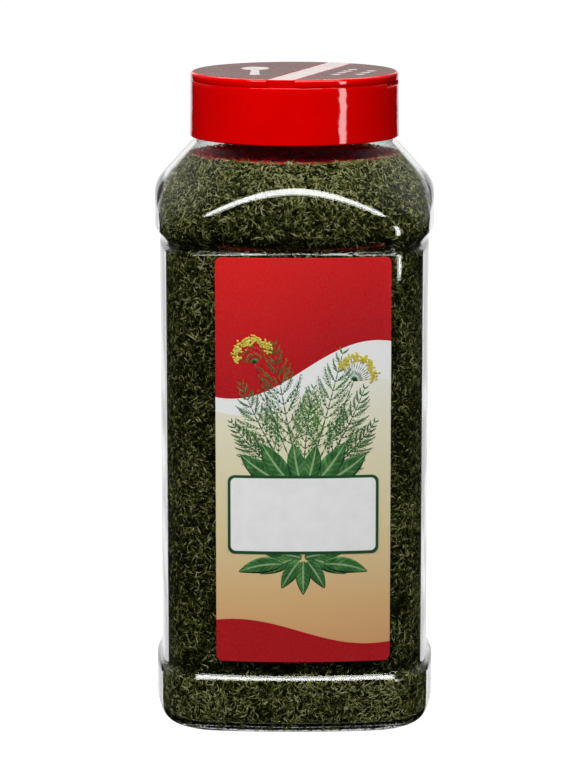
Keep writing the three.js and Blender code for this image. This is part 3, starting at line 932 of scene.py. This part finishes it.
frond_parts = []
for foot_x, lean, reach, sweep, tone in BOUQUET:
    frond_parts += frond(foot_x, BOUQUET_FOOT_Z, lean, reach, sweep, tone)
head_dots = []
for foot_x, lean, reach, sweep in FLOWER_HEADS:
    parts, dots = flower_head(foot_x, BOUQUET_FOOT_Z, lean, reach, sweep)
    frond_parts += parts
    head_dots.append(dots)
fronds = make_piece("printed_fronds", [part for part, tone in frond_parts])
add_tone(fronds, np.concatenate([tone for part, tone in frond_parts]))
frond_ink, tree = new_material("frond_green_ink")
frond_stops = [
    (0.0, (0.008, 0.045, 0.018)),
    (0.45, (0.03, 0.13, 0.035)),
    (0.75, (0.11, 0.27, 0.06)),
    (1.0, (0.30, 0.45, 0.13)),
]
plain_finish(
    tree,
    Base_Color=tone_ramp(tree, frond_stops, 300, 2, 0.1),
    Roughness=spread(tree, mottle(tree, 90), 0.3, 0.42),
    Specular_IOR_Level=0.3,
)
fronds.data.materials.append(frond_ink)
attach(fronds, "jar")

dot_places = np.vstack(head_dots)
dot_sizes = dice.uniform(0.0003, 0.0005, len(dot_places))
flowers = make_piece("printed_flowers", [dot_film(dot_places, dot_sizes)])
yellow_ink = ink_material("flower_yellow_ink", (0.42, 0.36, 0.03), (0.78, 0.66, 0.12), 900)
flowers.data.materials.append(yellow_ink)
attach(flowers, "jar")


def leaf(foot_x, foot_z, lean, reach, width, sweep, layer):
    """One plain leaf of ink: sections across its length, each a shallow lens whose half width is a
    sine of the way along, on a midrib that bends by the sweep, closed at foot and tip."""
    share = np.linspace(0.02, 0.98, LEAF_SECTIONS)
    step = reach * (share[1] - share[0])
    turn = lean + sweep * share
    rib_x = foot_x + (np.cumsum(np.sin(turn)) - np.sin(turn[0])) * step
    rib_z = foot_z + (np.cumsum(np.cos(turn)) - np.cos(turn[0])) * step
    half = width / 2 * np.sin(np.pi * share**0.8) ** 0.85
    across = np.linspace(-1, 1, LEAF_COLUMNS)
    ring = np.concatenate([across, across[-2:0:-1]])
    in_front = np.arange(len(ring)) < LEAF_COLUMNS
    lift = plate_lift + INK * (layer + np.where(in_front, 0.6 + 0.5 * (1 - ring**2), -0.5))
    x = rib_x[:, None] + np.cos(turn)[:, None] * half[:, None] * ring
    z = rib_z[:, None] - np.sin(turn)[:, None] * half[:, None] * ring
    rings = on_label(x, z, np.broadcast_to(lift, x.shape))[:, ::-1]
    return skin(rings, rings[0].mean(axis=0), rings[-1].mean(axis=0)), share, ring[::-1]


def leaf_uv(piece, leaves):
    """A map of each leaf: along it by the midrib's share, and across it from edge to edge."""
    values = []
    for share, ring in leaves:
        grid = np.stack(np.broadcast_arrays(share[:, None], ring / 2 + 0.5), axis=-1).reshape(-1, 2)
        values.append(np.vstack([grid, [[0, 0.5], [1, 0.5]]]))
    per_point = np.vstack(values)
    corners = np.empty(len(piece.data.loops), np.int32)
    piece.data.loops.foreach_get("vertex_index", corners)
    layer = piece.data.uv_layers.new(name="leaf")
    layer.data.foreach_set("uv", per_point[corners].astype(np.float32).ravel())


leaf_skins, leaf_shares = [], []
for order, (foot_x, foot_z, lean, reach, width, sweep) in enumerate(GARLAND):
    made, share, ring = leaf(foot_x, foot_z, lean, reach, width, sweep, 0.12 * order)
    leaf_skins.append(made)
    leaf_shares.append((share, ring))
leaves = make_piece("printed_leaves", leaf_skins)
leaf_uv(leaves, leaf_shares)
leaf_ink, tree = new_material("leaf_green_ink")
leaf_map = node(tree, "SeparateXYZ", Vector=node(tree, "UVMap", {"uv_map": "leaf"}).outputs["UV"])
off_rib = math_node(tree, "ABSOLUTE", math_node(tree, "SUBTRACT", leaf_map.outputs["Y"], 0.5))
vein_place = math_node(tree, "SUBTRACT", leaf_map.outputs["X"], math_node(tree, "MULTIPLY", off_rib, 0.42))
vein = math_node(tree, "SINE", math_node(tree, "MULTIPLY", vein_place, 46.0))
rib_light = ramp(tree, off_rib, [(0.0, (1, 1, 1)), (0.05, (0.35, 0.35, 0.35)), (0.09, (0, 0, 0))])
vein_shade = math_node(tree, "MULTIPLY", vein, 0.16)
leaf_body = ramp(
    tree,
    math_node(tree, "ADD", vein_shade, spread(tree, mottle(tree, 260), 0.2, 0.8)),
    [(0.0, (0.012, 0.06, 0.015)), (0.5, (0.035, 0.13, 0.035)), (1.0, (0.12, 0.27, 0.09))],
)
leaf_colour = mix_colour(tree, rib_light, leaf_body, (0.34, 0.50, 0.24, 1))
plain_finish(
    tree,
    Base_Color=leaf_colour,
    Roughness=spread(tree, mottle(tree, 90), 0.3, 0.42),
    Specular_IOR_Level=0.3,
)
leaves.data.materials.append(leaf_ink)
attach(leaves, "jar")


# Sealing ring. A flat ring of white polyethylene foam lies on the rim of the jar, and the cap
# presses it down. Its edges are punched, and a little rounded by use.

LINER_INNER = 0.028
LINER_OUTER = 0.031
LINER_Z = 0.1999
LINER_THICKNESS = 0.001
LINER_ROUND = 0.0003


def lathe(outline):
    """Skin of revolution of a closed outline of radius and height: one ring for each of its points,
    at even steps about the axis."""
    turn = np.linspace(0, 2 * np.pi, 192, endpoint=False)
    return skin(round_points(outline[:, :1], turn, outline[:, 1:]), looped=True)


def rounded_corner(radius_at, z_at, size, start, end, steps=5):
    """Quarter circle of an outline about a centre, from one angle to another in degrees."""
    turn = np.radians(np.linspace(start, end, steps))
    return np.stack([radius_at + size * np.cos(turn), z_at + size * np.sin(turn)], axis=-1)


inner, outer = LINER_INNER + LINER_ROUND, LINER_OUTER - LINER_ROUND
low, high = LINER_Z + LINER_ROUND, LINER_Z + LINER_THICKNESS - LINER_ROUND
liner_outline = np.vstack(
    [
        rounded_corner(outer, low, LINER_ROUND, -90, 0),
        rounded_corner(outer, high, LINER_ROUND, 0, 90),
        rounded_corner(inner, high, LINER_ROUND, 90, 180),
        rounded_corner(inner, low, LINER_ROUND, 180, 270),
    ]
)
liner = make_piece("sealing_ring", [lathe(liner_outline)])
liner_foam, tree = new_material("liner_foam")
cells = node(tree, "TexVoronoi", Vector=node(tree, "TexCoord").outputs["Object"], Scale=3200.0)
foam_mottle = spread(tree, mottle(tree, 400), 0, 1)
foam_colour = mix_colour(tree, foam_mottle, (0.78, 0.77, 0.72, 1), (0.86, 0.85, 0.81, 1))
plain_finish(
    tree,
    Base_Color=foam_colour,
    Roughness=0.7,
    Normal=bump(tree, cells.outputs["Distance"], 0.00008),
)
liner.data.materials.append(liner_foam)
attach(liner, "liner")
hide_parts("cap_liner")


# Cap skirt. The cap is one injection moulding in glossy red polypropylene: a smooth skirt with a
# slight draft and a screw thread inside, dipped at two places for the thumbs.

CAP_BOTTOM_Z = 0.185
CAP_TOP_Z = 0.2054
CAP_RADIUS = 0.03325
CAP_TOP_RADIUS = 0.03295
CAP_BORE = 0.0316
CAP_THREAD_HEIGHT = 0.0008
CAP_THREAD_TURNS = 1.1
DECK_TOP_Z = 0.2028
DECK_UNDER_Z = 0.2012
SKIRT_ROUND = 0.0003
NOTCH_WIDTH = 0.013
NOTCH_DROP = 0.0012
NOTCH_EASE = 0.006
NOTCH_FLOOR_RADIUS = 0.03155
BAR_TURN = math.radians(-17.7)

notch_edge = math.asin(NOTCH_WIDTH / 2 / CAP_TOP_RADIUS)
ease_steps = np.array([-1, -1 / 3, 1 / 3, 1]) * NOTCH_EASE
notch_edges = np.concatenate([ease_steps - notch_edge, ease_steps + notch_edge])
even_turn = np.linspace(0, 2 * np.pi, 200, endpoint=False)
skirt_turn = np.concatenate([even_turn, notch_edges, notch_edges + np.pi])
skirt_turn = np.sort(skirt_turn % (2 * np.pi))
off_tip = np.abs(np.arcsin(np.clip(np.sin(skirt_turn), -1, 1)))
notch = np.clip((notch_edge + NOTCH_EASE - off_tip) / (2 * NOTCH_EASE), 0, 1)
notch = notch * notch * (3 - 2 * notch)
skirt_turn = skirt_turn + BAR_TURN

bore_z = np.linspace(DECK_UNDER_Z - 0.0002, CAP_BOTTOM_Z + 0.0009, 60)
bore_thread = (NECK_THREAD_Z - LEAD / 2, CAP_THREAD_TURNS, CAP_THREAD_HEIGHT)
bore_ridge = thread_ridge(skirt_turn, bore_z[:, None], *bore_thread)
skirt_side_z = np.linspace(CAP_BOTTOM_Z + 0.0006, DECK_TOP_Z - NOTCH_DROP - 0.0006, 12)
draft = (CAP_RADIUS - CAP_TOP_RADIUS) / (DECK_TOP_Z - CAP_BOTTOM_Z)


def skirt_ring(radius, z):
    """One ring of the skirt, at a radius and a height that may each vary round it."""
    return round_points(radius, skirt_turn, z)[None]


def skirt_rim_z(z):
    """Height of the skirt's top edge: let down by the thumb notches."""
    return z - NOTCH_DROP * notch


low_edge = rounded_corner(CAP_RADIUS - SKIRT_ROUND, CAP_BOTTOM_Z + SKIRT_ROUND, SKIRT_ROUND, -60, 0, 3)
top_edge = rounded_corner(CAP_TOP_RADIUS - SKIRT_ROUND, DECK_TOP_Z - SKIRT_ROUND, SKIRT_ROUND, 0, 90)
skirt_rings = [
    skirt_ring(CAP_BORE + 0.0005, CAP_BOTTOM_Z),
    skirt_ring(CAP_RADIUS - SKIRT_ROUND, CAP_BOTTOM_Z),
    *[skirt_ring(radius, z) for radius, z in low_edge],
    *[skirt_ring(CAP_RADIUS - draft * (z - CAP_BOTTOM_Z), z) for z in skirt_side_z],
    *[skirt_ring(radius, skirt_rim_z(z)) for radius, z in top_edge],
    skirt_ring(NOTCH_FLOOR_RADIUS + 0.00005, skirt_rim_z(DECK_TOP_Z)),
    skirt_ring(NOTCH_FLOOR_RADIUS, DECK_TOP_Z),
    skirt_ring(NOTCH_FLOOR_RADIUS - 0.0004, DECK_TOP_Z),
    skirt_ring(NOTCH_FLOOR_RADIUS - 0.0004, DECK_UNDER_Z),
    skirt_ring(CAP_BORE - 0.0003, DECK_UNDER_Z),
    round_points(CAP_BORE - bore_ridge, skirt_turn, bore_z[:, None]),
]
skirt = make_piece("cap_skirt", [skin(np.vstack(skirt_rings), looped=True)], sharp=35)

red_plastic, tree = new_material("red_polypropylene")
flow = bump(tree, mottle(tree, 260, detail=2, stretch=(0.6, 0.6, 1)), 0.00011)
red_peel = bump(tree, mottle(tree, 2200), 0.000004, under=flow)
swirl = spread(tree, mottle(tree, 45, detail=3), 0, 1)
plain_finish(
    tree,
    Base_Color=mix_colour(tree, swirl, (0.66, 0.0002, 0.0002, 1), (0.72, 0.0004, 0.0004, 1)),
    Roughness=spread(tree, mottle(tree, 120), 0.03, 0.07),
    IOR=1.49,
    Subsurface_Weight=0.08,
    Subsurface_Radius=(0.004, 0.0006, 0.0004),
    Subsurface_Scale=0.5,
    Normal=red_peel,
)
skirt.data.materials.append(red_plastic)
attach(skirt, "cap")
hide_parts("cap_shell")


# Cap deck. The flat top of the moulding lies under the flaps: it has a half-moon opening for a
# measuring spoon and seven round shaker holes, all with softened edges.

DECK_RADIUS = 0.0313
DECK_EDGE = 0.00012
SPOON_HOLE = (0.024, -0.023, -0.004)
SHAKER_HOLE_RADIUS = 0.0025
SHAKER_HOLES = [(0.013, v) for v in (-0.012, -0.004, 0.004, 0.012)]
SHAKER_HOLES += [(0.020, v) for v in (-0.008, 0, 0.008)]


def slice_reach(turn, centre, radius, low, high, inset=0.0, blend=0.0006, chord_share=1.0):
    """Distance from a point on the slice's middle line to its edge, in each direction: the least of
    the way to the circle and to either chord, with corners rounded by a smooth minimum. The inset
    draws in the circle, and a share of it the chords."""
    along, across = np.cos(turn), np.sin(turn)
    disc = radius - inset
    inset = inset * chord_share
    to_circle = -centre * along + np.sqrt(disc**2 - (centre * across) ** 2)
    with np.errstate(divide="ignore"):
        to_high = np.where(along > 1e-9, (high - inset - centre) / np.maximum(along, 1e-9), 9.0)
        to_low = np.where(along < -1e-9, (centre - low - inset) / np.maximum(-along, 1e-9), 9.0)
    chord = np.minimum(to_high, to_low)
    close = np.maximum(blend - np.abs(to_circle - chord), 0)
    return np.minimum(to_circle, chord) - close**2 / (4 * blend)


def slice_outline(radius, low, high, inset=0.0, count=220, blend=0.0006, chord_share=1.0):
    """Outline of the slice of a disc between two chords, counter-clockwise in the bar's own axes.
    Its directions are spaced evenly by length along the edge, so all insets match point by point."""
    centre = (max(low, -radius) + min(high, radius)) / 2
    fine = np.linspace(0, 2 * np.pi, 6001)
    fine_reach = slice_reach(fine, centre, radius, low, high, 0.0, blend)[:, None]
    edge = fine_reach * np.stack([np.cos(fine), np.sin(fine)], axis=-1)
    run = np.concatenate([[0], np.cumsum(np.linalg.norm(np.diff(edge, axis=0), axis=1))])
    turn = np.interp(np.linspace(0, run[-1], count, endpoint=False), run, fine)
    reach = slice_reach(turn, centre, radius, low, high, inset, blend, chord_share)
    return np.stack([centre + reach * np.cos(turn), reach * np.sin(turn)], axis=-1)


def circle_outline(u, v, radius, count=40):
    """Outline of a circle in the bar's axes."""
    turn = np.linspace(0, 2 * np.pi, count, endpoint=False)
    return np.stack([u + radius * np.cos(turn), v + radius * np.sin(turn)], axis=-1)


def to_cap(outline, z):
    """Points of an outline in the bar's axes, set at a height in the jar's frame."""
    u, v = outline[..., 0], outline[..., 1]
    x = u * math.cos(BAR_TURN) - v * math.sin(BAR_TURN)
    y = u * math.sin(BAR_TURN) + v * math.cos(BAR_TURN)
    return np.stack(np.broadcast_arrays(x, y, z), axis=-1)


deck_curve = bpy.data.curves.new("cap_deck", "CURVE")
deck_curve.dimensions = "2D"
deck_curve.fill_mode = "BOTH"
deck_curve.extrude = (DECK_TOP_Z - DECK_UNDER_Z) / 2 - DECK_EDGE
deck_curve.bevel_depth = DECK_EDGE
deck_curve.bevel_resolution = 2
deck_holes = [circle_outline(u, v, SHAKER_HOLE_RADIUS + DECK_EDGE) for u, v in SHAKER_HOLES]
for outline in [
    circle_outline(0, 0, DECK_RADIUS - DECK_EDGE, 160),
    slice_outline(*SPOON_HOLE, inset=-DECK_EDGE, count=120),
    *deck_holes,
]:
    spline = deck_curve.splines.new("POLY")
    spline.points.add(len(outline) - 1)
    flat = np.column_stack([to_cap(outline, 0.0), np.ones(len(outline))])
    spline.points.foreach_set("co", flat.astype(np.float32).ravel())
    spline.use_cyclic_u = True
deck_form = bpy.data.objects.new("cap_deck_curve", deck_curve)
bpy.context.scene.collection.objects.link(deck_form)
deck_mesh = bpy.data.meshes.new_from_object(deck_form.evaluated_get(bpy.context.evaluated_depsgraph_get()))
deck_mesh.transform(Matrix.Translation((0, 0, (DECK_TOP_Z + DECK_UNDER_Z) / 2 - 0.00004)))
bpy.data.objects.remove(deck_form)
deck = bpy.data.objects.new("cap_deck", deck_mesh)
bpy.context.scene.collection.objects.link(deck)
deck_mesh.materials.clear()
deck_mesh.materials.append(red_plastic)
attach(deck, "cap")


# Centre bar. A raised bar crosses the top between the flaps and carries their hinges. Its top is
# flush with the flaps and printed white.

BAR_LOW = 0.0016
BAR_HIGH = 0.0096
BAR_INSET = 0.0004
BAR_ROUND = 0.00012
FLAP_GAP = 0.00012
PRINT_DEPTH = 0.00004
PRINT_MARGIN = 0.0001


def slab(radius, low, high, bottom_z, top_z, size, bottom_size=0.0001, blend=0.0006, chord_share=1.0):
    """Closed plate of a disc slice with its top edge rounded and its lower edge just broken: each
    ring is the outline inset by the edge's circle at that height."""
    rings = []
    for turn in np.radians(np.linspace(-90, 0, 3)):
        inset = bottom_size * (1 - math.cos(turn))
        rings.append((inset, bottom_z + bottom_size * (1 + math.sin(turn))))
    for turn in np.radians(np.linspace(0, 90, 7)):
        rings.append((size * (1 - math.cos(turn)), top_z - size * (1 - math.sin(turn))))
    outlines = np.array(
        [
            to_cap(slice_outline(radius, low, high, inset, blend=blend, chord_share=chord_share), z)
            for inset, z in rings
        ]
    )
    middle = to_cap(np.array([(max(low, -radius) + min(high, radius)) / 2, 0.0]), 0.0)
    return skin(outlines, (*middle[:2], bottom_z), (*middle[:2], top_z))


bar_radius = CAP_TOP_RADIUS - BAR_INSET
bar = make_piece(
    "cap_centre_bar",
    [slab(bar_radius, BAR_LOW, BAR_HIGH, DECK_TOP_Z - 0.0004, CAP_TOP_Z - PRINT_DEPTH, BAR_ROUND)],
    sharp=35,
)
bar.data.materials.append(red_plastic)
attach(bar, "cap")

white_print = ink_material("white_pad_print", (0.41, 0.36, 0.35), (0.47, 0.41, 0.395), 600, 0.5, 0.15)
bar_print = make_piece(
    "bar_white_print",
    [
        slab(
            bar_radius - 2 * PRINT_MARGIN,
            BAR_LOW + PRINT_MARGIN,
            BAR_HIGH - PRINT_MARGIN,
            CAP_TOP_Z - 3 * PRINT_DEPTH,
            CAP_TOP_Z - 0.2 * PRINT_DEPTH,
            PRINT_DEPTH,
            PRINT_DEPTH,
        )
    ],
    sharp=35,
)
bar_print.data.materials.append(white_print)
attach(bar_print, "cap")


# Flaps. Two flaps fill the top either side of the bar and snap down on the deck: the large one
# has a rib that plugs the spoon opening, the small one a pin for each shaker hole. Their tops are
# pad-printed dark, with a white spoon on one and white dots on the other as plain signs of use.

FLAP_BOTTOM_Z = DECK_TOP_Z + 0.00008
FLAP_ROUND = 0.0009
RIB_CLEARANCE = 0.0004
RIB_THICKNESS = 0.0008
RIB_FOOT = 0.0004
RIB_TAPER = 0.00025
SEAL_LOW_Z = DECK_TOP_Z - 0.0012
PIN_RADIUS = 0.0016
FLAP_CORNER = 0.0016
FLAP_CHORD_SHARE = 0.15
FIELD_INSET = 0.00095
FIELD_CHORD_SHARE = 0.2
SPOON_X = -0.0125
SPOON_FOOT_Y = -0.0150
SPOON_LENGTH = 0.0285
BOWL_Y = 0.0078
flap_top_z = CAP_TOP_Z - PRINT_DEPTH


def plug_rib():
    """Wall of the spoon plug: a square section carried round the opening's outline, set in from
    it by the clearance, with a tapered foot."""
    outer_rib, inner_rib = RIB_CLEARANCE, RIB_CLEARANCE + RIB_THICKNESS
    section = [
        (outer_rib + RIB_TAPER, SEAL_LOW_Z),
        (outer_rib, SEAL_LOW_Z + RIB_FOOT),
        (outer_rib, FLAP_BOTTOM_Z + RIB_FOOT),
        (inner_rib, FLAP_BOTTOM_Z + RIB_FOOT),
        (inner_rib, SEAL_LOW_Z + RIB_FOOT),
        (inner_rib - RIB_TAPER, SEAL_LOW_Z),
    ]
    outlines = [(slice_outline(*SPOON_HOLE, inset=inset, count=160), z) for inset, z in section]
    return skin(np.array([to_cap(outline, z) for outline, z in outlines]), looped=True)


def seal_pin(u, v):
    """One sealing pin: stacked circles that draw in over a rounded lower end."""
    shape = [(0.0009, 0.0), (0.0014, 0.00015), (PIN_RADIUS, 0.0005), (PIN_RADIUS, 0.0019)]
    circles = [(circle_outline(u, v, radius, 24), SEAL_LOW_Z + rise) for radius, rise in shape]
    rings = np.array([to_cap(circle, z) for circle, z in circles])
    middle = to_cap(np.array([u, v]), 0.0)[:2]
    return skin(rings, (*middle, SEAL_LOW_Z), (*middle, SEAL_LOW_Z + shape[-1][1]))


spoon_slice = (CAP_TOP_RADIUS, -CAP_TOP_RADIUS, BAR_LOW - FLAP_GAP)
shaker_slice = (CAP_TOP_RADIUS, BAR_HIGH + FLAP_GAP, CAP_TOP_RADIUS)
flap_shape = (FLAP_BOTTOM_Z, flap_top_z, FLAP_ROUND)
flap_edge = {"blend": FLAP_CORNER, "chord_share": FLAP_CHORD_SHARE}
spoon_lid = make_piece(
    "spoon_flap_moulding",
    [slab(*spoon_slice, *flap_shape, **flap_edge), plug_rib()],
    sharp=35,
)
shaker_lid = make_piece(
    "shaker_flap_moulding",
    [slab(*shaker_slice, *flap_shape, **flap_edge), *[seal_pin(u, v) for u, v in SHAKER_HOLES]],
    sharp=35,
)


def inlay(outline, centre, layer):
    """A film of ink inside a convex outline in the bar's axes, laid on the flaps' tops in layers."""
    low_z = flap_top_z - PRINT_DEPTH
    high_z = flap_top_z + PRINT_DEPTH * (0.5 + 0.4 * layer)
    rings = np.array([to_cap(outline, z) for z in (low_z, high_z)])
    middle = to_cap(np.array(centre), 0.0)[:2]
    return skin(rings, (*middle, low_z), (*middle, high_z))


def field_print(slice_shape):
    """The dark printed ground of one flap: its slice inset from the edge."""
    edge = {"inset": FIELD_INSET, "blend": FLAP_CORNER, "chord_share": FIELD_CHORD_SHARE}
    outline = slice_outline(*slice_shape, **edge)
    return inlay(outline, outline.mean(axis=0), 0)


def sign_film(along_y, half_width, x):
    """A white sign that lies along the jar's Y axis: four-point sections at each place along it,
    with the half width that it has there, laid over the dark ground."""
    low_z, high_z = flap_top_z - PRINT_DEPTH, flap_top_z + 0.9 * PRINT_DEPTH
    sections = np.stack(
        [
            np.stack([x + side * half_width, along_y, np.full_like(along_y, z)], axis=-1)
            for side, z in ((-1, low_z), (-1, high_z), (1, high_z), (1, low_z))
        ],
        axis=1,
    )
    return skin(sections, sections[0].mean(axis=0), sections[-1].mean(axis=0))


spoon_y = SPOON_FOOT_Y + SPOON_LENGTH * (1 - np.cos(np.linspace(0.05, np.pi - 0.05, 60))) / 2
handle = 0.0015 - 0.0004 * np.clip((spoon_y - SPOON_FOOT_Y) / 0.018, 0, 1)
bowl = 0.0044 * np.sqrt(np.maximum(1 - ((spoon_y - BOWL_Y) / 0.0058) ** 2, 0))
spoon_half_width = np.maximum(bowl, handle * (spoon_y < BOWL_Y)) + 0.0001
spoon_signs = [sign_film(spoon_y, spoon_half_width, SPOON_X)]
dot_centres = [(u + 0.0035, v * 0.75) for u, v in SHAKER_HOLES]
dot_signs = [inlay(circle_outline(*centre, 0.0016, 24), centre, 1) for centre in dot_centres]
dark_print = ink_material("dark_pad_print", (0.10, 0.044, 0.038), (0.15, 0.074, 0.064), 900, 0.22, 0.4)
for lid, body, node_name, ground_print, signs in (
    (spoon_lid, "spoon_lid", "spoon_flap", field_print(spoon_slice), spoon_signs),
    (shaker_lid, "shaker_lid", "shaker_flap", field_print(shaker_slice), dot_signs),
):
    lid.data.materials.append(red_plastic)
    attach(lid, body)
    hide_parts(node_name)
    for print_name, skins, ink in (("ground", [ground_print], dark_print), ("sign", signs, white_print)):
        print_piece = make_piece(f"{node_name}_{print_name}_print", skins, sharp=35)
        print_piece.data.materials.append(ink)
        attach(print_piece, body)


# Studio. The jar stands on a pale floor against white. A broad softbox hangs high in front, a
# narrow one stands to the right, one hangs behind, and large flat panels fill from the front, from
# overhead, from the left and from the right. The gloss reflects a bright patch behind and dark walls.

CAMERA_Y = -1.1
CAMERA_Z = 0.3044
CAMERA_PITCH = 79.61
CAMERA_LENS = 162.94
CAMERA_SHIFT = (-0.00846, 0.0074)
LIGHT_AIM_Z = 0.1
SEEN_WHITE = (1.05, 1.05, 1.05, 1)
PATCH_SIDE = (0.38, 0.44)
PATCH_TOP = (0.058, 0.088)
PATCH_GAP = (0.08, 0.13)
SIDE_PATCH_TOP = (0.25, 0.4)
HAZE_LIGHT = 0.16
WALL_LIGHT = 0.004

floor = bpy.data.objects.new("studio_floor", bpy.data.meshes.new("studio_floor"))
floor.data.from_pydata([(-6, -6, 0), (6, -6, 0), (6, 6, 0), (-6, 6, 0)], [], [(0, 1, 2, 3)])
bpy.context.scene.collection.objects.link(floor)
pale, tree = new_material("pale_floor")
plain_finish(
    tree,
    Base_Color=(0.3, 0.3, 0.3, 1),
    Roughness=0.9,
    Specular_IOR_Level=0.0,
    Emission_Color=(1, 1, 1, 1),
    Emission_Strength=0.98,
)
floor.data.materials.append(pale)
floor.visible_glossy = False
floor.visible_transmission = False
floor.visible_diffuse = False

world = bpy.data.worlds.new("studio")
bpy.context.scene.world = world
world.use_nodes = True
world.node_tree.nodes.clear()
tree = world.node_tree
toward = node(tree, "SeparateXYZ", Vector=node(tree, "TexCoord").outputs["Generated"])


def soft_step(value, low, high):
    """0 under the low value and 1 over the high one, with a smooth step between."""
    smooth = {"interpolation_type": "SMOOTHSTEP"}
    made = node(tree, "MapRange", smooth, Value=value, From_Min=low, From_Max=high)
    return made.outputs["Result"]


aside = math_node(tree, "ABSOLUTE", toward.outputs["X"])
within_side = math_node(tree, "SUBTRACT", 1.0, soft_step(aside, *PATCH_SIDE))
under_middle = math_node(tree, "SUBTRACT", 1.0, soft_step(toward.outputs["Z"], *PATCH_TOP))
inside_patch = math_node(tree, "MULTIPLY", within_side, under_middle)
beside = math_node(tree, "SUBTRACT", soft_step(aside, *PATCH_GAP), soft_step(aside, *PATCH_SIDE))
under_top = math_node(tree, "SUBTRACT", 1.0, soft_step(toward.outputs["Z"], *SIDE_PATCH_TOP))
side_patch = math_node(tree, "MULTIPLY", beside, under_top)
inside_patch = math_node(tree, "MAXIMUM", inside_patch, side_patch)
inside_patch = math_node(tree, "MULTIPLY", inside_patch, soft_step(toward.outputs["Z"], -0.4, -0.3))
inside_patch = math_node(tree, "MULTIPLY", inside_patch, soft_step(toward.outputs["Y"], 0.0, 0.2))
behind = soft_step(toward.outputs["Y"], 0.0, 0.6)
haze = math_node(tree, "MULTIPLY", behind, soft_step(toward.outputs["Z"], -0.1, 0.1))
walls_grey = math_node(tree, "ADD", math_node(tree, "MULTIPLY", haze, HAZE_LIGHT), WALL_LIGHT)
surroundings = mix_colour(tree, inside_patch, walls_grey, SEEN_WHITE)
from_camera = node(tree, "LightPath").outputs["Is Camera Ray"]
seen_colour = mix_colour(tree, from_camera, surroundings, SEEN_WHITE)
background = node(tree, "Background", Color=seen_colour, Strength=1.0)
world_output = tree.nodes.new("ShaderNodeOutputWorld")
tree.links.new(background.outputs[0], world_output.inputs["Surface"])


def softbox(name, azimuth, elevation, distance, width, height, radiance, reflected=True):
    """A rectangular light that faces the jar. Azimuth turns from the camera's side to the right,
    and its power is radiance times its area times pi."""
    light = bpy.data.lights.new(name, "AREA")
    light.shape = "RECTANGLE"
    light.size = width
    light.size_y = height
    light.energy = radiance * math.pi * width * height
    lamp = bpy.data.objects.new(name, light)
    turn, rise = math.radians(azimuth), math.radians(elevation)
    flat = distance * math.cos(rise)
    lamp.location = (flat * math.sin(turn), -flat * math.cos(turn), LIGHT_AIM_Z + distance * math.sin(rise))
    lamp.rotation_euler = (math.pi / 2 - rise, 0, turn)
    lamp.visible_glossy = reflected
    lamp.visible_transmission = reflected
    bpy.context.scene.collection.objects.link(lamp)
    return lamp


softbox("key_softbox", 1, 63, 1.3, 2.1, 0.4, 9.0)
strip = softbox("strip_right", 54, 4.4, 1.2, 0.18, 0.42, 9.0)
strip.visible_diffuse = False
softbox("front_panel", -26, 30, 1.6, 1.2, 0.8, 3.4, reflected=False)
softbox("back_softbox", 180, 48, 1.4, 1.2, 0.5, 4.0)
softbox("overhead_panel", -20, 76, 1.4, 1.2, 1.2, 2.2, reflected=False)
softbox("left_panel", -80, 24, 1.5, 0.9, 0.9, 0.2, reflected=False)
softbox("right_panel", 95, 24, 1.6, 1.2, 0.8, 0.9, reflected=False)

camera = bpy.data.objects.new("camera", bpy.data.cameras.new("camera"))
camera.location = (0, CAMERA_Y, CAMERA_Z)
camera.rotation_euler = (math.radians(CAMERA_PITCH), 0, 0)
camera.data.lens = CAMERA_LENS
camera.data.sensor_width = 36
camera.data.shift_x, camera.data.shift_y = CAMERA_SHIFT
bpy.context.scene.collection.objects.link(camera)
bpy.context.scene.camera = camera
bpy.context.scene.view_settings.view_transform = "Standard"
